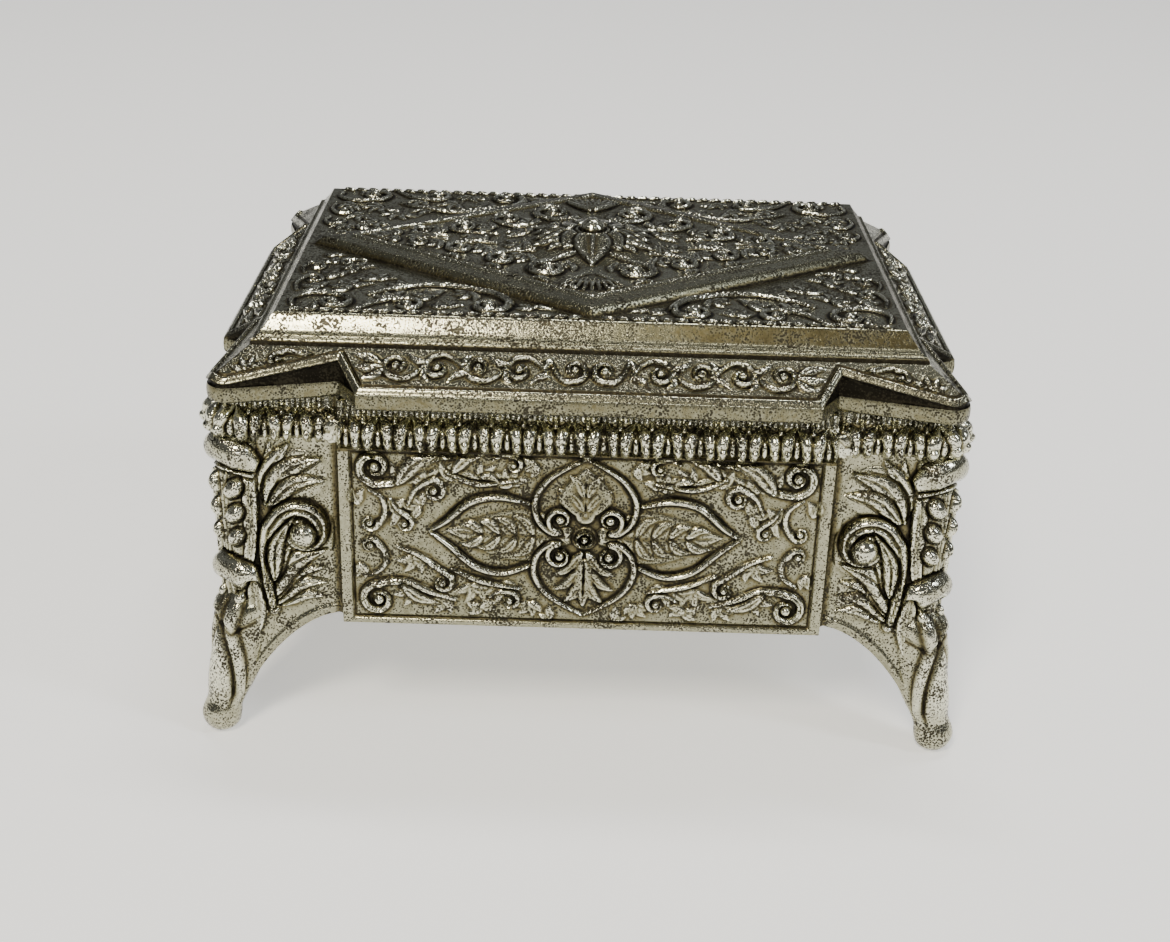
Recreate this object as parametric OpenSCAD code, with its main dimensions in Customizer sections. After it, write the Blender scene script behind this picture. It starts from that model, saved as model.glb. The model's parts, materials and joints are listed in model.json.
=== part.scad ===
// Footed trinket box in plated cast metal, with a hinged lid and a velvet lining.
// The front is -Y and the feet stand on z = 0. Every corner is drawn once, in the
// +X +Y quarter, and mirrored to its place.

/* [Overall] */
// Width over the lid's side bays
box_w = 128; // [108:1:154]
// Depth over the lid's front and back bays
box_d = 95; // [82:1:114]
// Height from the feet to the flat top of the lid
box_h = 77.5; // [68:0.5:93]

/* [Lid] */
// Length of the front and back bays along the lid's edge
front_bay = 76; // [64:1:88]
// Length of the side bays along the lid's edge
side_bay = 48; // [38:1:54]
// How far each notch runs beyond its bay
notch_run = 3.5; // [2.5:0.5:5]
// How deep each notch cuts in from the bay's edge
notch_depth = 5.5; // [4:0.5:6.5]
// How far the corner ears stay behind the bays
ear_in = 1; // [0.5:0.1:3]
// Radius of the ears' round tips
ear_r = 3.5; // [2:0.5:5]
// Height of the upright rim under the sloping band
rim_h = 2.8; // [2:0.2:4]
// Level width of the sloping band
band_run = 7.7; // [6:0.1:9]
// Height of the sloping band
band_rise = 5.2; // [4:0.1:6.5]
// Level width of the step above the band
bead_run = 1.4; // [1:0.1:2]
// Height of the step above the band
bead_rise = 1.4; // [1:0.1:2]
// Level width of the bevel round the flat top
bevel_run = 2.4; // [1.6:0.1:3]
// Height of the bevel round the flat top
bevel_rise = 3.2; // [2.4:0.1:4]
// Thickness of the lid's flat top
lid_top_t = 2.2; // [1.6:0.1:3]
// Width of the lid's flat underside, from the bay's edge to the hollow
lid_ring_w = 12; // [10.5:0.5:13]
// Level width of the slanting bars round the raised diamond
diamond_bar_w = 4.4; // [3:0.2:6]
// Height of the raised diamond above the flat top
diamond_h = 1.9; // [1:0.1:2.6]
// Radius of the domed flower in the middle of the diamond
flower_r = 8; // [6:0.2:11]
// Height of the flower above the diamond
flower_h = 2.8; // [1.5:0.1:3.5]

/* [Body] */
// How far the lid's bays overhang the panels
overhang = 2.4; // [1.5:0.1:3.5]
// Height of the panels' lower edge above the table
panel_z = 24; // [18:0.5:30]
// Height of the leaf frieze under the lid
frieze_h = 6.9; // [5.5:0.1:9]
// How far the frieze's foot stands out from the panels
frieze_out = 1.2; // [0.6:0.1:1.6]
// How far the frieze's top falls back from the panels
frieze_in = 1.8; // [1.2:0.1:2.2]
// Thickness of the cast walls
wall_t = 2.4; // [1.8:0.1:3]
// Level width of the slanting faces beside each panel
channel_run = 2.5; // [2:0.1:3.5]
// Depth of the slanting faces beside each panel
channel_depth = 2.9; // [2:0.1:3.4]
// Radius of the rounded corner posts
post_r = 6; // [5:0.1:7]
// How far the corner posts stand out past the side panels
post_out = 1.4; // [0.6:0.1:2]
// Radius of the two knobs on each corner post
knob_r = 3; // [2.4:0.1:3.4]
// Width of the raised border round each panel
border_w = 1.6; // [1:0.1:2.5]
// Height of the raised border round each panel
border_h = 0.4; // [0.2:0.1:0.8]
// Thickness of the sheet that closes the bottom
base_t = 1; // [0.8:0.1:1.6]
// How far the bottom sheet sits above the panels' lower edge
base_lift = 0.6; // [0:0.1:2]

/* [Feet] */
// Radius of the knob that each leg stands on
foot_r = 3.4; // [2.8:0.1:4]
// Height of the middle of that knob
foot_z = 3; // [2.6:0.1:3.4]
// How far the foot reaches past the corner post
foot_out = 4.5; // [3:0.1:6]
// Height at which the leg leaves the corner post
knee_z = 22; // [18:0.5:25]
// Radius of the leg where it leaves the corner post
knee_r = 5; // [4.4:0.1:5.5]
// Height of the ankle
ankle_z = 12; // [10:0.5:14]
// Radius of the leg at its ankle
ankle_r = 4.2; // [3.6:0.1:4.6]

/* [Hinges] */
// Distance from the middle of the back to each hinge
hinge_x = 24; // [18:1:30]
// Length of each hinge
hinge_len = 16; // [12:1:20]
// Radius of the hinge barrel
barrel_r = 1.5; // [1.3:0.1:1.8]
// Radius of the hinge pin
pin_r = 0.6; // [0.5:0.05:0.7]
// Thickness of the hinge leaves
leaf_t = 0.5; // [0.4:0.1:0.7]
// Radial clearance between the pin and the lid's knuckle
pin_clear = 0.06; // [0.02:0.01:0.1]

/* [Lining] */
// Thickness of the card behind the velvet
card_t = 0.8; // [0.5:0.1:1.2]
// Thickness of the velvet on the walls
wall_pile = 1.2; // [0.8:0.1:1.6]
// Thickness of the padded floor
floor_pad = 2.2; // [1.6:0.1:3]
// Thickness of the pad inside the lid
lid_pad = 2.6; // [1.6:0.1:3.5]

/* [Hidden] */

$fn = 48;
silver = [0.72, 0.71, 0.66];
steel = [0.62, 0.63, 0.65];
crimson = [0.45, 0.04, 0.09];
board = [0.72, 0.66, 0.54];

fit = 0.05;        // gap round a piece that is soldered or glued into a seat
seam = 0.2;        // gap between the lid and the walls when the lid is down
swing_gap = 0.3;   // gap that the lid keeps round the hinge barrel as it turns
knuckle_gap = 0.2; // gap between neighbouring knuckles
eps = 0.01;        // overshoot of a cut
arc_steps = 8;

// Levels of the lid, from the top down
z_bevel = box_h - bevel_rise;
z_bead = z_bevel - bead_rise;
z_edge = z_bead - band_rise;
z_lid = z_edge - rim_h;
z_hollow = box_h - lid_top_t;

// Half sizes of the lid
bay_x = box_w / 2;
bay_y = box_d / 2;
bead_x = bay_x - band_run;
bead_y = bay_y - band_run;
bevel_x = bead_x - bead_run;
bevel_y = bead_y - bead_run;
top_x = bevel_x - bevel_run;
top_y = bevel_y - bevel_run;
hollow_x = bay_x - lid_ring_w;
hollow_y = bay_y - lid_ring_w;

// The body: its panels' outer faces, levels and corner posts
face_x = bay_x - overhang;
face_y = bay_y - overhang;
panel_x = front_bay / 2 + notch_run;
panel_y = side_bay / 2 + notch_run;
z_wall = z_lid - seam;
z_frieze = z_wall - frieze_h;
post = [face_x + post_out - post_r, face_y - channel_depth + 0.6 - post_r];
inner = [face_x - 5.4, face_y - channel_depth - wall_t];
ledge_h = 2.7;
// Reach of the post's round at a distance from its middle, measured where the frieze stands
// out most: each face's root stays clear of it
function post_chord(d) = sqrt(max(0, pow(post_r + frieze_out, 2) - d * d)) - frieze_out;
front_root = [panel_x + channel_run,
    max(face_y - channel_depth, post.y + post_chord(panel_x + channel_run - post.x) + 0.3)];
side_root = [max(face_x - 2, post.x + post_chord(panel_y + channel_run - post.y) + 0.3),
    panel_y + channel_run];

// The hinge's axis, just behind the frieze's top and level with the seam
hinge_y = face_y - frieze_in + barrel_r + 0.4;
hinge_z = z_lid - seam / 2;
leaf_end = hinge_y - barrel_r - swing_gap;
knuckle = (hinge_len - 2 * knuckle_gap) / 3;

// The lining's planes
lining_x = inner.x - 0.2;
lining_y = inner.y - 0.2;
z_base = panel_z + base_lift;
z_floor_card = z_base + base_t;
z_floor_pad = z_floor_card + card_t;
z_lining_top = z_wall - 0.7;

rib = post + post_r * [cos(45), sin(45)];
foot = [post.x + post_r + foot_out - foot_r, post.y + post_r + foot_out - 0.7 - foot_r];
ankle = [(rib.x + foot.x) / 2 - 1.4, (rib.y + foot.y) / 2 - 1.4];

// Points on a circle from the tangent through a to the tangent through b, clockwise
function tangent_arc(c, r, a, b) =
    let (da = a - c, db = b - c,
         start = (atan2(da.y, da.x) + 360) % 360 - acos(r / norm(da)),
         stop = atan2(db.y, db.x) + acos(r / norm(db)))
    [for (i = [0:arc_steps]) let (t = start + (stop - start) * i / arc_steps)
        c + r * [cos(t), sin(t)]];

function flip(points) = [for (i = [len(points) - 1:-1:0]) points[i]];
function scaled(points, s) = [for (p = points) [p.x * s.x, p.y * s.y]];
// A whole outline from its +X +Y quarter, which runs clockwise from the top
function all_round(q) = concat(q, flip(scaled(q, [1, -1])), scaled(q, [-1, -1]),
    flip(scaled(q, [-1, 1])));
// A profile that is the same on both sides of the middle plane
function both_sides(p) = concat(p, flip(scaled(p, [-1, 1])));

notch_front = [front_bay / 2 + notch_run, bay_y - notch_depth];
notch_side = [bay_x - notch_depth, side_bay / 2 + notch_run];
ear = [bay_x - ear_in - ear_r, bay_y - ear_in - ear_r];
lid_quarter = concat([[front_bay / 2, bay_y], notch_front],
    tangent_arc(ear, ear_r, notch_front, notch_side), [notch_side, [bay_x, side_bay / 2]]);

// The lid's section across one middle plane, from the half sizes on that axis
function lid_section(bay, bead, bevel, top) = both_sides([[bay, z_lid], [bay, z_edge],
    [bead, z_bead], [bead - 0.4, z_bevel], [bevel, z_bevel], [top, box_h]]);

module along_x(length) { rotate([90, 0, 90]) linear_extrude(length, center = true) children(); }
module along_y(length) { rotate([90, 0, 0]) linear_extrude(length, center = true) children(); }
module block(low, high) { translate(low) cube(high - low); }
module at_back_hinge(side) { translate([side * hinge_x, 0, 0]) children(); }

// ---- lid ----

// A low roof with two slanting sides, one of the two that cross to make the diamond
module diamond_roof(turn) {
    side = (top_x - 1) * (top_y - 1) / norm([top_x - 1, top_y - 1]);
    translate([0, 0, box_h - eps]) rotate([0, 0, turn]) along_y(4 * top_x)
        polygon([[-side, 0], [side, 0], [side - diamond_bar_w, diamond_h + eps],
            [diamond_bar_w - side, diamond_h + eps]]);
}

module diamond() {
    turn = atan2(top_x - 1, top_y - 1);
    intersection() {
        diamond_roof(turn);
        diamond_roof(-turn);
    }
    translate([0, 0, box_h + diamond_h - eps]) rotate_extrude() polygon(concat([[0, 0]],
        [for (i = [0:arc_steps]) let (t = 90 * i / arc_steps)
            [flower_r * cos(t), (flower_h + eps) * sin(t)]]));
}

module lid_shell() {
    color(silver) difference() {
        union() {
            intersection() {
                translate([0, 0, z_lid]) linear_extrude(box_h - z_lid)
                    polygon(all_round(lid_quarter));
                along_y(box_d + 2) polygon(lid_section(bay_x, bead_x, bevel_x, top_x));
                along_x(box_w + 2) polygon(lid_section(bay_y, bead_y, bevel_y, top_y));
            }
            diamond();
        }
        block([-hollow_x, -hollow_y, z_lid - 1], [hollow_x, hollow_y, z_hollow]);
        for (side = [-1, 1]) at_back_hinge(side) {
            lid_leaf_seat();
            block([-hinge_len / 2 - swing_gap, leaf_end, z_lid - 1],
                [hinge_len / 2 + swing_gap, bay_y + 1, hinge_z + barrel_r + swing_gap]);
        }
    }
}

module lid_leaf_seat() {
    block([-hinge_len / 2 - fit, hollow_y + 1.5 - fit, z_lid - 1],
        [hinge_len / 2 + fit, leaf_end + eps, z_lid + leaf_t]);
}

module lid_card() {
    color(board) block([-hollow_x + fit, -hollow_y + fit, z_hollow - card_t],
        [hollow_x - fit, hollow_y - fit, z_hollow]);
}

module lid_velvet() {
    color(crimson) block([-hollow_x + fit, -hollow_y + fit, z_hollow - card_t - lid_pad],
        [hollow_x - fit, hollow_y - fit, z_hollow - card_t]);
}

// ---- panels ----

// Section of a panel and its frieze, across the wall, for a panel whose face is at f
function panel_section(f, ledge) = [[f, panel_z], [f, z_frieze],
    [f + frieze_out, z_frieze + 0.5], [f + frieze_out, z_frieze + 0.27 * frieze_h],
    [f + 0.2 * frieze_out, z_frieze + 0.4 * frieze_h],
    [f - 0.35 * frieze_in, z_frieze + 0.56 * frieze_h],
    [f - 0.8 * frieze_in, z_frieze + 0.76 * frieze_h], [f - frieze_in, z_wall],
    [ledge, z_wall], [ledge, z_wall - ledge_h], [f - wall_t, z_wall - ledge_h - 1.4],
    [f - wall_t, panel_z]];

module border(half, h) {
    z_top = z_frieze - 0.3;
    difference() {
        polygon([[-half, panel_z], [half, panel_z], [half, z_top], [-half, z_top]]);
        polygon([[-half + h, panel_z + h], [half - h, panel_z + h], [half - h, z_top - h],
            [-half + h, z_top - h]]);
    }
}

// The back panel without its hinge seats; the front is its mirror image
module long_panel() {
    color(silver) {
        along_x(2 * panel_x) polygon(panel_section(face_y, inner.y));
        translate([0, face_y + border_h, 0]) rotate([90, 0, 0])
            linear_extrude(border_h + eps) border(panel_x, border_w);
    }
}

module back_panel() {
    difference() {
        long_panel();
        for (side = [-1, 1]) at_back_hinge(side)
            block([-hinge_len / 2 - fit, inner.y + 0.8 - fit, z_wall - leaf_t],
                [hinge_len / 2 + fit, face_y, z_wall + 1]);
    }
}

module front_panel() { mirror([0, 1, 0]) long_panel(); }

module right_panel() {
    color(silver) {
        along_y(2 * panel_y) polygon(panel_section(face_x, inner.x));
        translate([face_x - eps, 0, 0]) rotate([90, 0, 90])
            linear_extrude(border_h + eps) border(panel_y, border_w);
    }
}

module left_panel() { mirror([1, 0, 0]) right_panel(); }

// ---- corner posts and legs ----

// Outer line of a corner post, standing out by o from its plain face
function post_outer(o) = concat([[panel_x, face_y + o], front_root + [0, o]],
    tangent_arc(post, post_r + o, front_root + [0, o], side_root + [o, 0]),
    [side_root + [o, 0], [face_x + o, panel_y]]);
function post_plan(o) = concat(post_outer(o), [[face_x - wall_t, panel_y],
    [inner.x, side_root.y + 0.6], inner, [front_root.x + 0.6, inner.y],
    [panel_x, face_y - wall_t]]);
function ledge_plan(o) = concat(post_outer(o), [[inner.x, panel_y], inner, [panel_x, inner.y]]);

// The open arch between a panel's end and the foot
function arch(near, far) = concat([[near - 5, -1], [near - 5, panel_z]],
    [for (i = [0:arc_steps]) let (t = 90 - 90 * i / arc_steps)
        [near + (far - near) * pow(cos(t), 1.15), panel_z * pow(sin(t), 1.15)]], [[far, -1]]);

// A round slice and a ball, joined as one stretch of the leg
module stretch(low, low_r, high, high_r) {
    hull() {
        translate(high) cylinder(r = high_r, h = 0.5, $fn = 32);
        translate(low) sphere(low_r, $fn = 32);
    }
}

module leg_splay() {
    knee = rib - knee_r * [cos(45), sin(45)];
    stretch([ankle.x, ankle.y, ankle_z], ankle_r, [knee.x, knee.y, knee_z], knee_r);
    stretch([foot.x, foot.y, foot_z + 0.4], foot_r - 0.4, [ankle.x, ankle.y, ankle_z],
        ankle_r - 0.1);
    difference() {
        translate([foot.x, foot.y, foot_z]) sphere(foot_r);
        block([foot.x - 2 * foot_r, foot.y - 2 * foot_r, -2 * foot_r],
            [foot.x + 2 * foot_r, foot.y + 2 * foot_r, 0]);
    }
}

module leg() {
    web_z = 2 * foot_z;
    color(silver) {
        difference() {
            translate([0, 0, web_z]) linear_extrude(z_frieze - web_z) polygon(post_plan(0));
            block([panel_x - 5, inner.y - eps, 0], [panel_x + eps, face_y + 5, panel_z]);
            block([inner.x - eps, panel_y - 5, 0], [face_x + 5, panel_y + eps, panel_z]);
            translate([0, inner.y, 0]) along_y(20) polygon(arch(panel_x, foot.x - 4));
            translate([inner.x, 0, 0]) along_x(20) polygon(arch(panel_y, foot.y - 4));
        }
        translate([0, 0, z_frieze]) linear_extrude(0.33 * frieze_h)
            polygon(post_plan(frieze_out));
        translate([0, 0, z_frieze + 0.33 * frieze_h]) linear_extrude(0.33 * frieze_h)
            polygon(post_plan(0));
        translate([0, 0, z_frieze + 0.66 * frieze_h]) linear_extrude(0.34 * frieze_h)
            polygon(ledge_plan(-frieze_in / 2));
        for (z = [z_frieze - 1.2 * knob_r, panel_z + 2.4 * knob_r])
            translate([rib.x - knob_r / 2, rib.y - knob_r / 2, z]) sphere(knob_r);
        leg_splay();
    }
}

module leg_back_right() { leg(); }
module leg_back_left() { mirror([1, 0, 0]) leg(); }
module leg_front_right() { mirror([0, 1, 0]) leg(); }
module leg_front_left() { mirror([1, 0, 0]) mirror([0, 1, 0]) leg(); }

// ---- bottom ----

module base_plate() {
    g = fit;
    quarter = [[panel_x, face_y - wall_t - g], [front_root.x + 0.6 - g, inner.y - g],
        inner - [g, g], [inner.x - g, side_root.y + 0.6 - g], [face_x - wall_t - g, panel_y]];
    color(silver) translate([0, 0, z_base]) linear_extrude(base_t) polygon(all_round(quarter));
}

// ---- hinges ----

module barrel_bit(from, to, bore) {
    translate([from, hinge_y, hinge_z]) rotate([0, 90, 0]) difference() {
        cylinder(r = barrel_r, h = to - from);
        translate([0, 0, -1]) cylinder(r = bore, h = to - from + 2);
    }
}

// A tab that joins a leaf to the barrel, stopped short of the pin's bore
module tab(from, to, z) {
    block([from, leaf_end - eps, z], [to, hinge_y - pin_r - 0.4, z + leaf_t]);
}

module hinge_body_leaf(side) {
    half = hinge_len / 2;
    color(silver) at_back_hinge(side) {
        block([-half, inner.y + 0.8, z_wall - leaf_t], [half, leaf_end, z_wall]);
        for (end = [-1, 1]) {
            low = min(end * half, end * (half - knuckle));
            barrel_bit(low, low + knuckle, pin_r);
            tab(low, low + knuckle, z_wall - leaf_t);
        }
    }
}

module hinge_lid_leaf(side) {
    half = hinge_len / 2;
    color(silver) at_back_hinge(side) {
        block([-half, hollow_y + 1.5, z_lid], [half, leaf_end, z_lid + leaf_t]);
        barrel_bit(-knuckle / 2, knuckle / 2, pin_r + pin_clear);
        tab(-knuckle / 2, knuckle / 2, z_lid);
    }
}

module hinge_pin(side) {
    color(steel) at_back_hinge(side) translate([-hinge_len / 2, hinge_y, hinge_z])
        rotate([0, 90, 0]) cylinder(r = pin_r, h = hinge_len);
}

module hinge_left_body_leaf() { hinge_body_leaf(-1); }
module hinge_right_body_leaf() { hinge_body_leaf(1); }
module hinge_left_lid_leaf() { hinge_lid_leaf(-1); }
module hinge_right_lid_leaf() { hinge_lid_leaf(1); }
module hinge_left_pin() { hinge_pin(-1); }
module hinge_right_pin() { hinge_pin(1); }

// ---- lining ----

module floor_card() {
    color(board) block([-lining_x, -lining_y, z_floor_card], [lining_x, lining_y, z_floor_pad]);
}

module floor_velvet() {
    x = lining_x - card_t - wall_pile - fit;
    y = lining_y - card_t - wall_pile - fit;
    color(crimson) block([-x, -y, z_floor_pad], [x, y, z_floor_pad + floor_pad]);
}

module back_wall_card() {
    color(board) block([-lining_x, lining_y - card_t, z_floor_pad],
        [lining_x, lining_y, z_lining_top]);
}

module back_wall_velvet() {
    x = lining_x - card_t;
    color(crimson) block([-x, lining_y - card_t - wall_pile, z_floor_pad],
        [x, lining_y - card_t, z_lining_top]);
}

module right_wall_card() {
    y = lining_y - card_t;
    color(board) block([lining_x - card_t, -y, z_floor_pad], [lining_x, y, z_lining_top]);
}

module right_wall_velvet() {
    y = lining_y - card_t - wall_pile;
    color(crimson) block([lining_x - card_t - wall_pile, -y, z_floor_pad],
        [lining_x - card_t, y, z_lining_top]);
}

module front_wall_card() { mirror([0, 1, 0]) back_wall_card(); }
module front_wall_velvet() { mirror([0, 1, 0]) back_wall_velvet(); }
module left_wall_card() { mirror([1, 0, 0]) right_wall_card(); }
module left_wall_velvet() { mirror([1, 0, 0]) right_wall_velvet(); }

front_panel();
back_panel();
left_panel();
right_panel();
leg_front_left();
leg_front_right();
leg_back_left();
leg_back_right();
base_plate();
hinge_left_body_leaf();
hinge_right_body_leaf();
hinge_left_pin();
hinge_right_pin();
floor_card();
floor_velvet();
front_wall_card();
back_wall_card();
left_wall_card();
right_wall_card();
front_wall_velvet();
back_wall_velvet();
left_wall_velvet();
right_wall_velvet();
lid_shell();
lid_card();
lid_velvet();
hinge_left_lid_leaf();
hinge_right_lid_leaf();
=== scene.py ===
"""A footed trinket box of cast, silver-plated metal, tarnished in its hollows, with a velvet
lining. Each cell is one step; run from the top, they build the whole box."""

# %% [markdown]
# # A cast and plated trinket box
# The box is a handful of zinc-alloy castings: a lid, four walls and four legs, silver plated and
# then darkened so that the hollows stay black. Nearly all of its character is low relief, so most
# of this lesson is about drawing relief, and the rest about a finish that knows high from low.
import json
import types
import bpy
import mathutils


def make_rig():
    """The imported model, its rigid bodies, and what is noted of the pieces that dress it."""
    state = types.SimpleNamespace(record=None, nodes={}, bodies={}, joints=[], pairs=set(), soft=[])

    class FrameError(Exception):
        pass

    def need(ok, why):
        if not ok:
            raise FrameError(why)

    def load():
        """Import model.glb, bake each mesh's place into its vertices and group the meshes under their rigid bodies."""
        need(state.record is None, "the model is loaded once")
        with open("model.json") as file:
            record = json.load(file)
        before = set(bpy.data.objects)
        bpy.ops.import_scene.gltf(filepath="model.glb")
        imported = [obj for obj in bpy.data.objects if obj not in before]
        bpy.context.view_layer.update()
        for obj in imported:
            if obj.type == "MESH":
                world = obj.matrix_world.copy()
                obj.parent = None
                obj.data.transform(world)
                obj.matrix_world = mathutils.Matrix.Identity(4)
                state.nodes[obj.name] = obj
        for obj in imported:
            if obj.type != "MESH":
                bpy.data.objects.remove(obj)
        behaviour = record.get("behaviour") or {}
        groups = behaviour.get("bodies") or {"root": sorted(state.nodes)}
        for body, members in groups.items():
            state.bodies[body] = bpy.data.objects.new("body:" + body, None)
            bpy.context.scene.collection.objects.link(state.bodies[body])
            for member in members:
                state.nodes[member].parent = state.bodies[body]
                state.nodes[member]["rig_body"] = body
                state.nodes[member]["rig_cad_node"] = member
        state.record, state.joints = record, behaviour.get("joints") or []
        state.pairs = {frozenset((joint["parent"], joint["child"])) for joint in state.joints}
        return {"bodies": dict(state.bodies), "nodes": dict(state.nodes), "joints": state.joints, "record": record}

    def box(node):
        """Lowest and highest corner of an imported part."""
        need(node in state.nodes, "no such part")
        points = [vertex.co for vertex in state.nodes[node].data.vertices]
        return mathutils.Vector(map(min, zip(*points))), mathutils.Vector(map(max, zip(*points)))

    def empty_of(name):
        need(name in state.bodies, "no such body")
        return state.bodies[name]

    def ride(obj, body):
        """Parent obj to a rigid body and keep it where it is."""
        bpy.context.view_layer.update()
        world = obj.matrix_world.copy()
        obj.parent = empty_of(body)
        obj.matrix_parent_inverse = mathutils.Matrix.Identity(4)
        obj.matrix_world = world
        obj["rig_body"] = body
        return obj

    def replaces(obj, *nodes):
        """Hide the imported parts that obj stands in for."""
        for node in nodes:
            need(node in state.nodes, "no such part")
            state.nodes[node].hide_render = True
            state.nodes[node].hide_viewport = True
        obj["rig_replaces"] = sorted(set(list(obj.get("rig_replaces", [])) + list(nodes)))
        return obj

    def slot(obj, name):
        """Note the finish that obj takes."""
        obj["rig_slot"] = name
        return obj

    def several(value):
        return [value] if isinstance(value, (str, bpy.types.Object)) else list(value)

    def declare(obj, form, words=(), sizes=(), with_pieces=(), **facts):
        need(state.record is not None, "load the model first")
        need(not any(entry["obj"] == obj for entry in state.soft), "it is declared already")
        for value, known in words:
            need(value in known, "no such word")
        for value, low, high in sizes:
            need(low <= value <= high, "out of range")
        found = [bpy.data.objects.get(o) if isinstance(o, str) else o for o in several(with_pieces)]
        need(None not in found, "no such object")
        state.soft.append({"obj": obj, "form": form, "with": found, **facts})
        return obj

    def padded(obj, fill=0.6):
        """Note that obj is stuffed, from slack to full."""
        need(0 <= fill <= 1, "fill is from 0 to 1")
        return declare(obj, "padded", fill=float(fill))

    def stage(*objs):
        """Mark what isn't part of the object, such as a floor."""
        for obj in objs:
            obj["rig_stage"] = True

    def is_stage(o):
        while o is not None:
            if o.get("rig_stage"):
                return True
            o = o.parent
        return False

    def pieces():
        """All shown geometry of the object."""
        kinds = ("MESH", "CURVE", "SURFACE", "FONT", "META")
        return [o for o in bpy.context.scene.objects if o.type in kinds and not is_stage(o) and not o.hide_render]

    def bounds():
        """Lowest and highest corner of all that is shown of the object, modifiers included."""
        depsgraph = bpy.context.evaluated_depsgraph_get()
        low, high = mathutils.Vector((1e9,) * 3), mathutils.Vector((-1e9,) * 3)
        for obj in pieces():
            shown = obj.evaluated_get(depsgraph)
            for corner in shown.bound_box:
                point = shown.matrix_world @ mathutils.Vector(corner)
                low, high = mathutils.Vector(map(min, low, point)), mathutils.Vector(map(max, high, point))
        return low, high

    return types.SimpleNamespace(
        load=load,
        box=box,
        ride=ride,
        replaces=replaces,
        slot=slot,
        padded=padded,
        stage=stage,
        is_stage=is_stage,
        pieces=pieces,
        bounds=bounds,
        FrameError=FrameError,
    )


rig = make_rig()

# %% Frame and units
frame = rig.load()

import json

import bmesh
import bpy
import numpy as np
from mathutils import Matrix, Vector

MM = 0.001
cad_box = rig.bounds()
print("the solids' box, mm:", (np.array(cad_box) / MM).round(1).tolist())


# %% [markdown]
# ## Finishes
# The silver plate is a thin bright coat over a zinc-alloy casting. The maker darkens it with
# sulphide and wipes it, so the high parts stay bright and the hollows stay brown-black, and years
# of handling add pits where the plate has failed. The eye reads three things: a clean metal mirror
# broken up by relief, a yellowish tarnish half way down, and black dirt in the bottoms. All three
# are mixed by one value that each casting's points carry: their depth in the relief, plus painted
# highlights and painted shade in a few places. Noise at the real size of pits and stains is added,
# so the finish follows the form and needs no picture.

# %% Small helpers for materials
def colour(code):
    """An sRGB hex colour as linear red, green, blue and alpha."""
    rgb = np.array([int(code[i:i + 2], 16) for i in (1, 3, 5)]) / 255
    linear = np.where(rgb <= 0.04045, rgb / 12.92, ((rgb + 0.055) / 1.055) ** 2.4)
    return (*linear, 1.0)


def new_finish(name):
    finish = bpy.data.materials.new(name)
    finish.use_nodes = True
    tree = finish.node_tree
    shader = next(n for n in tree.nodes if n.type == "BSDF_PRINCIPLED")
    return finish, tree, shader


def add(tree, kind, settings=None, **links):
    """Add one node: settings are its own properties, and each other name is a socket, by name or
    by number as _0, given a value or another node's output."""
    node = tree.nodes.new(kind)
    for key, value in (settings or {}).items():
        if key == "ramp":
            marks = node.color_ramp.elements
            while len(marks) < len(value):
                marks.new(0.5)
            for mark, (at, tone) in zip(marks, value):
                mark.position, mark.color = at, tone
        else:
            setattr(node, key, value)
    for key, value in links.items():
        socket = node.inputs[int(key[1:])] if key[0] == "_" else node.inputs[key.replace("_", " ")]
        if isinstance(value, bpy.types.NodeSocket):
            tree.links.new(value, socket)
        else:
            socket.default_value = value
    return node


# %% Tarnished silver plate
SILVER = "#AEAC94"       # plate worn bright, with the warm cast of old silver
SHADE = "#807E67"        # plate under a thin sulphide film
YELLOW = "#676044"       # the straw tarnish in sheltered channels
SOOT = "#1B1914"         # sulphide and dirt in the hollows


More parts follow.
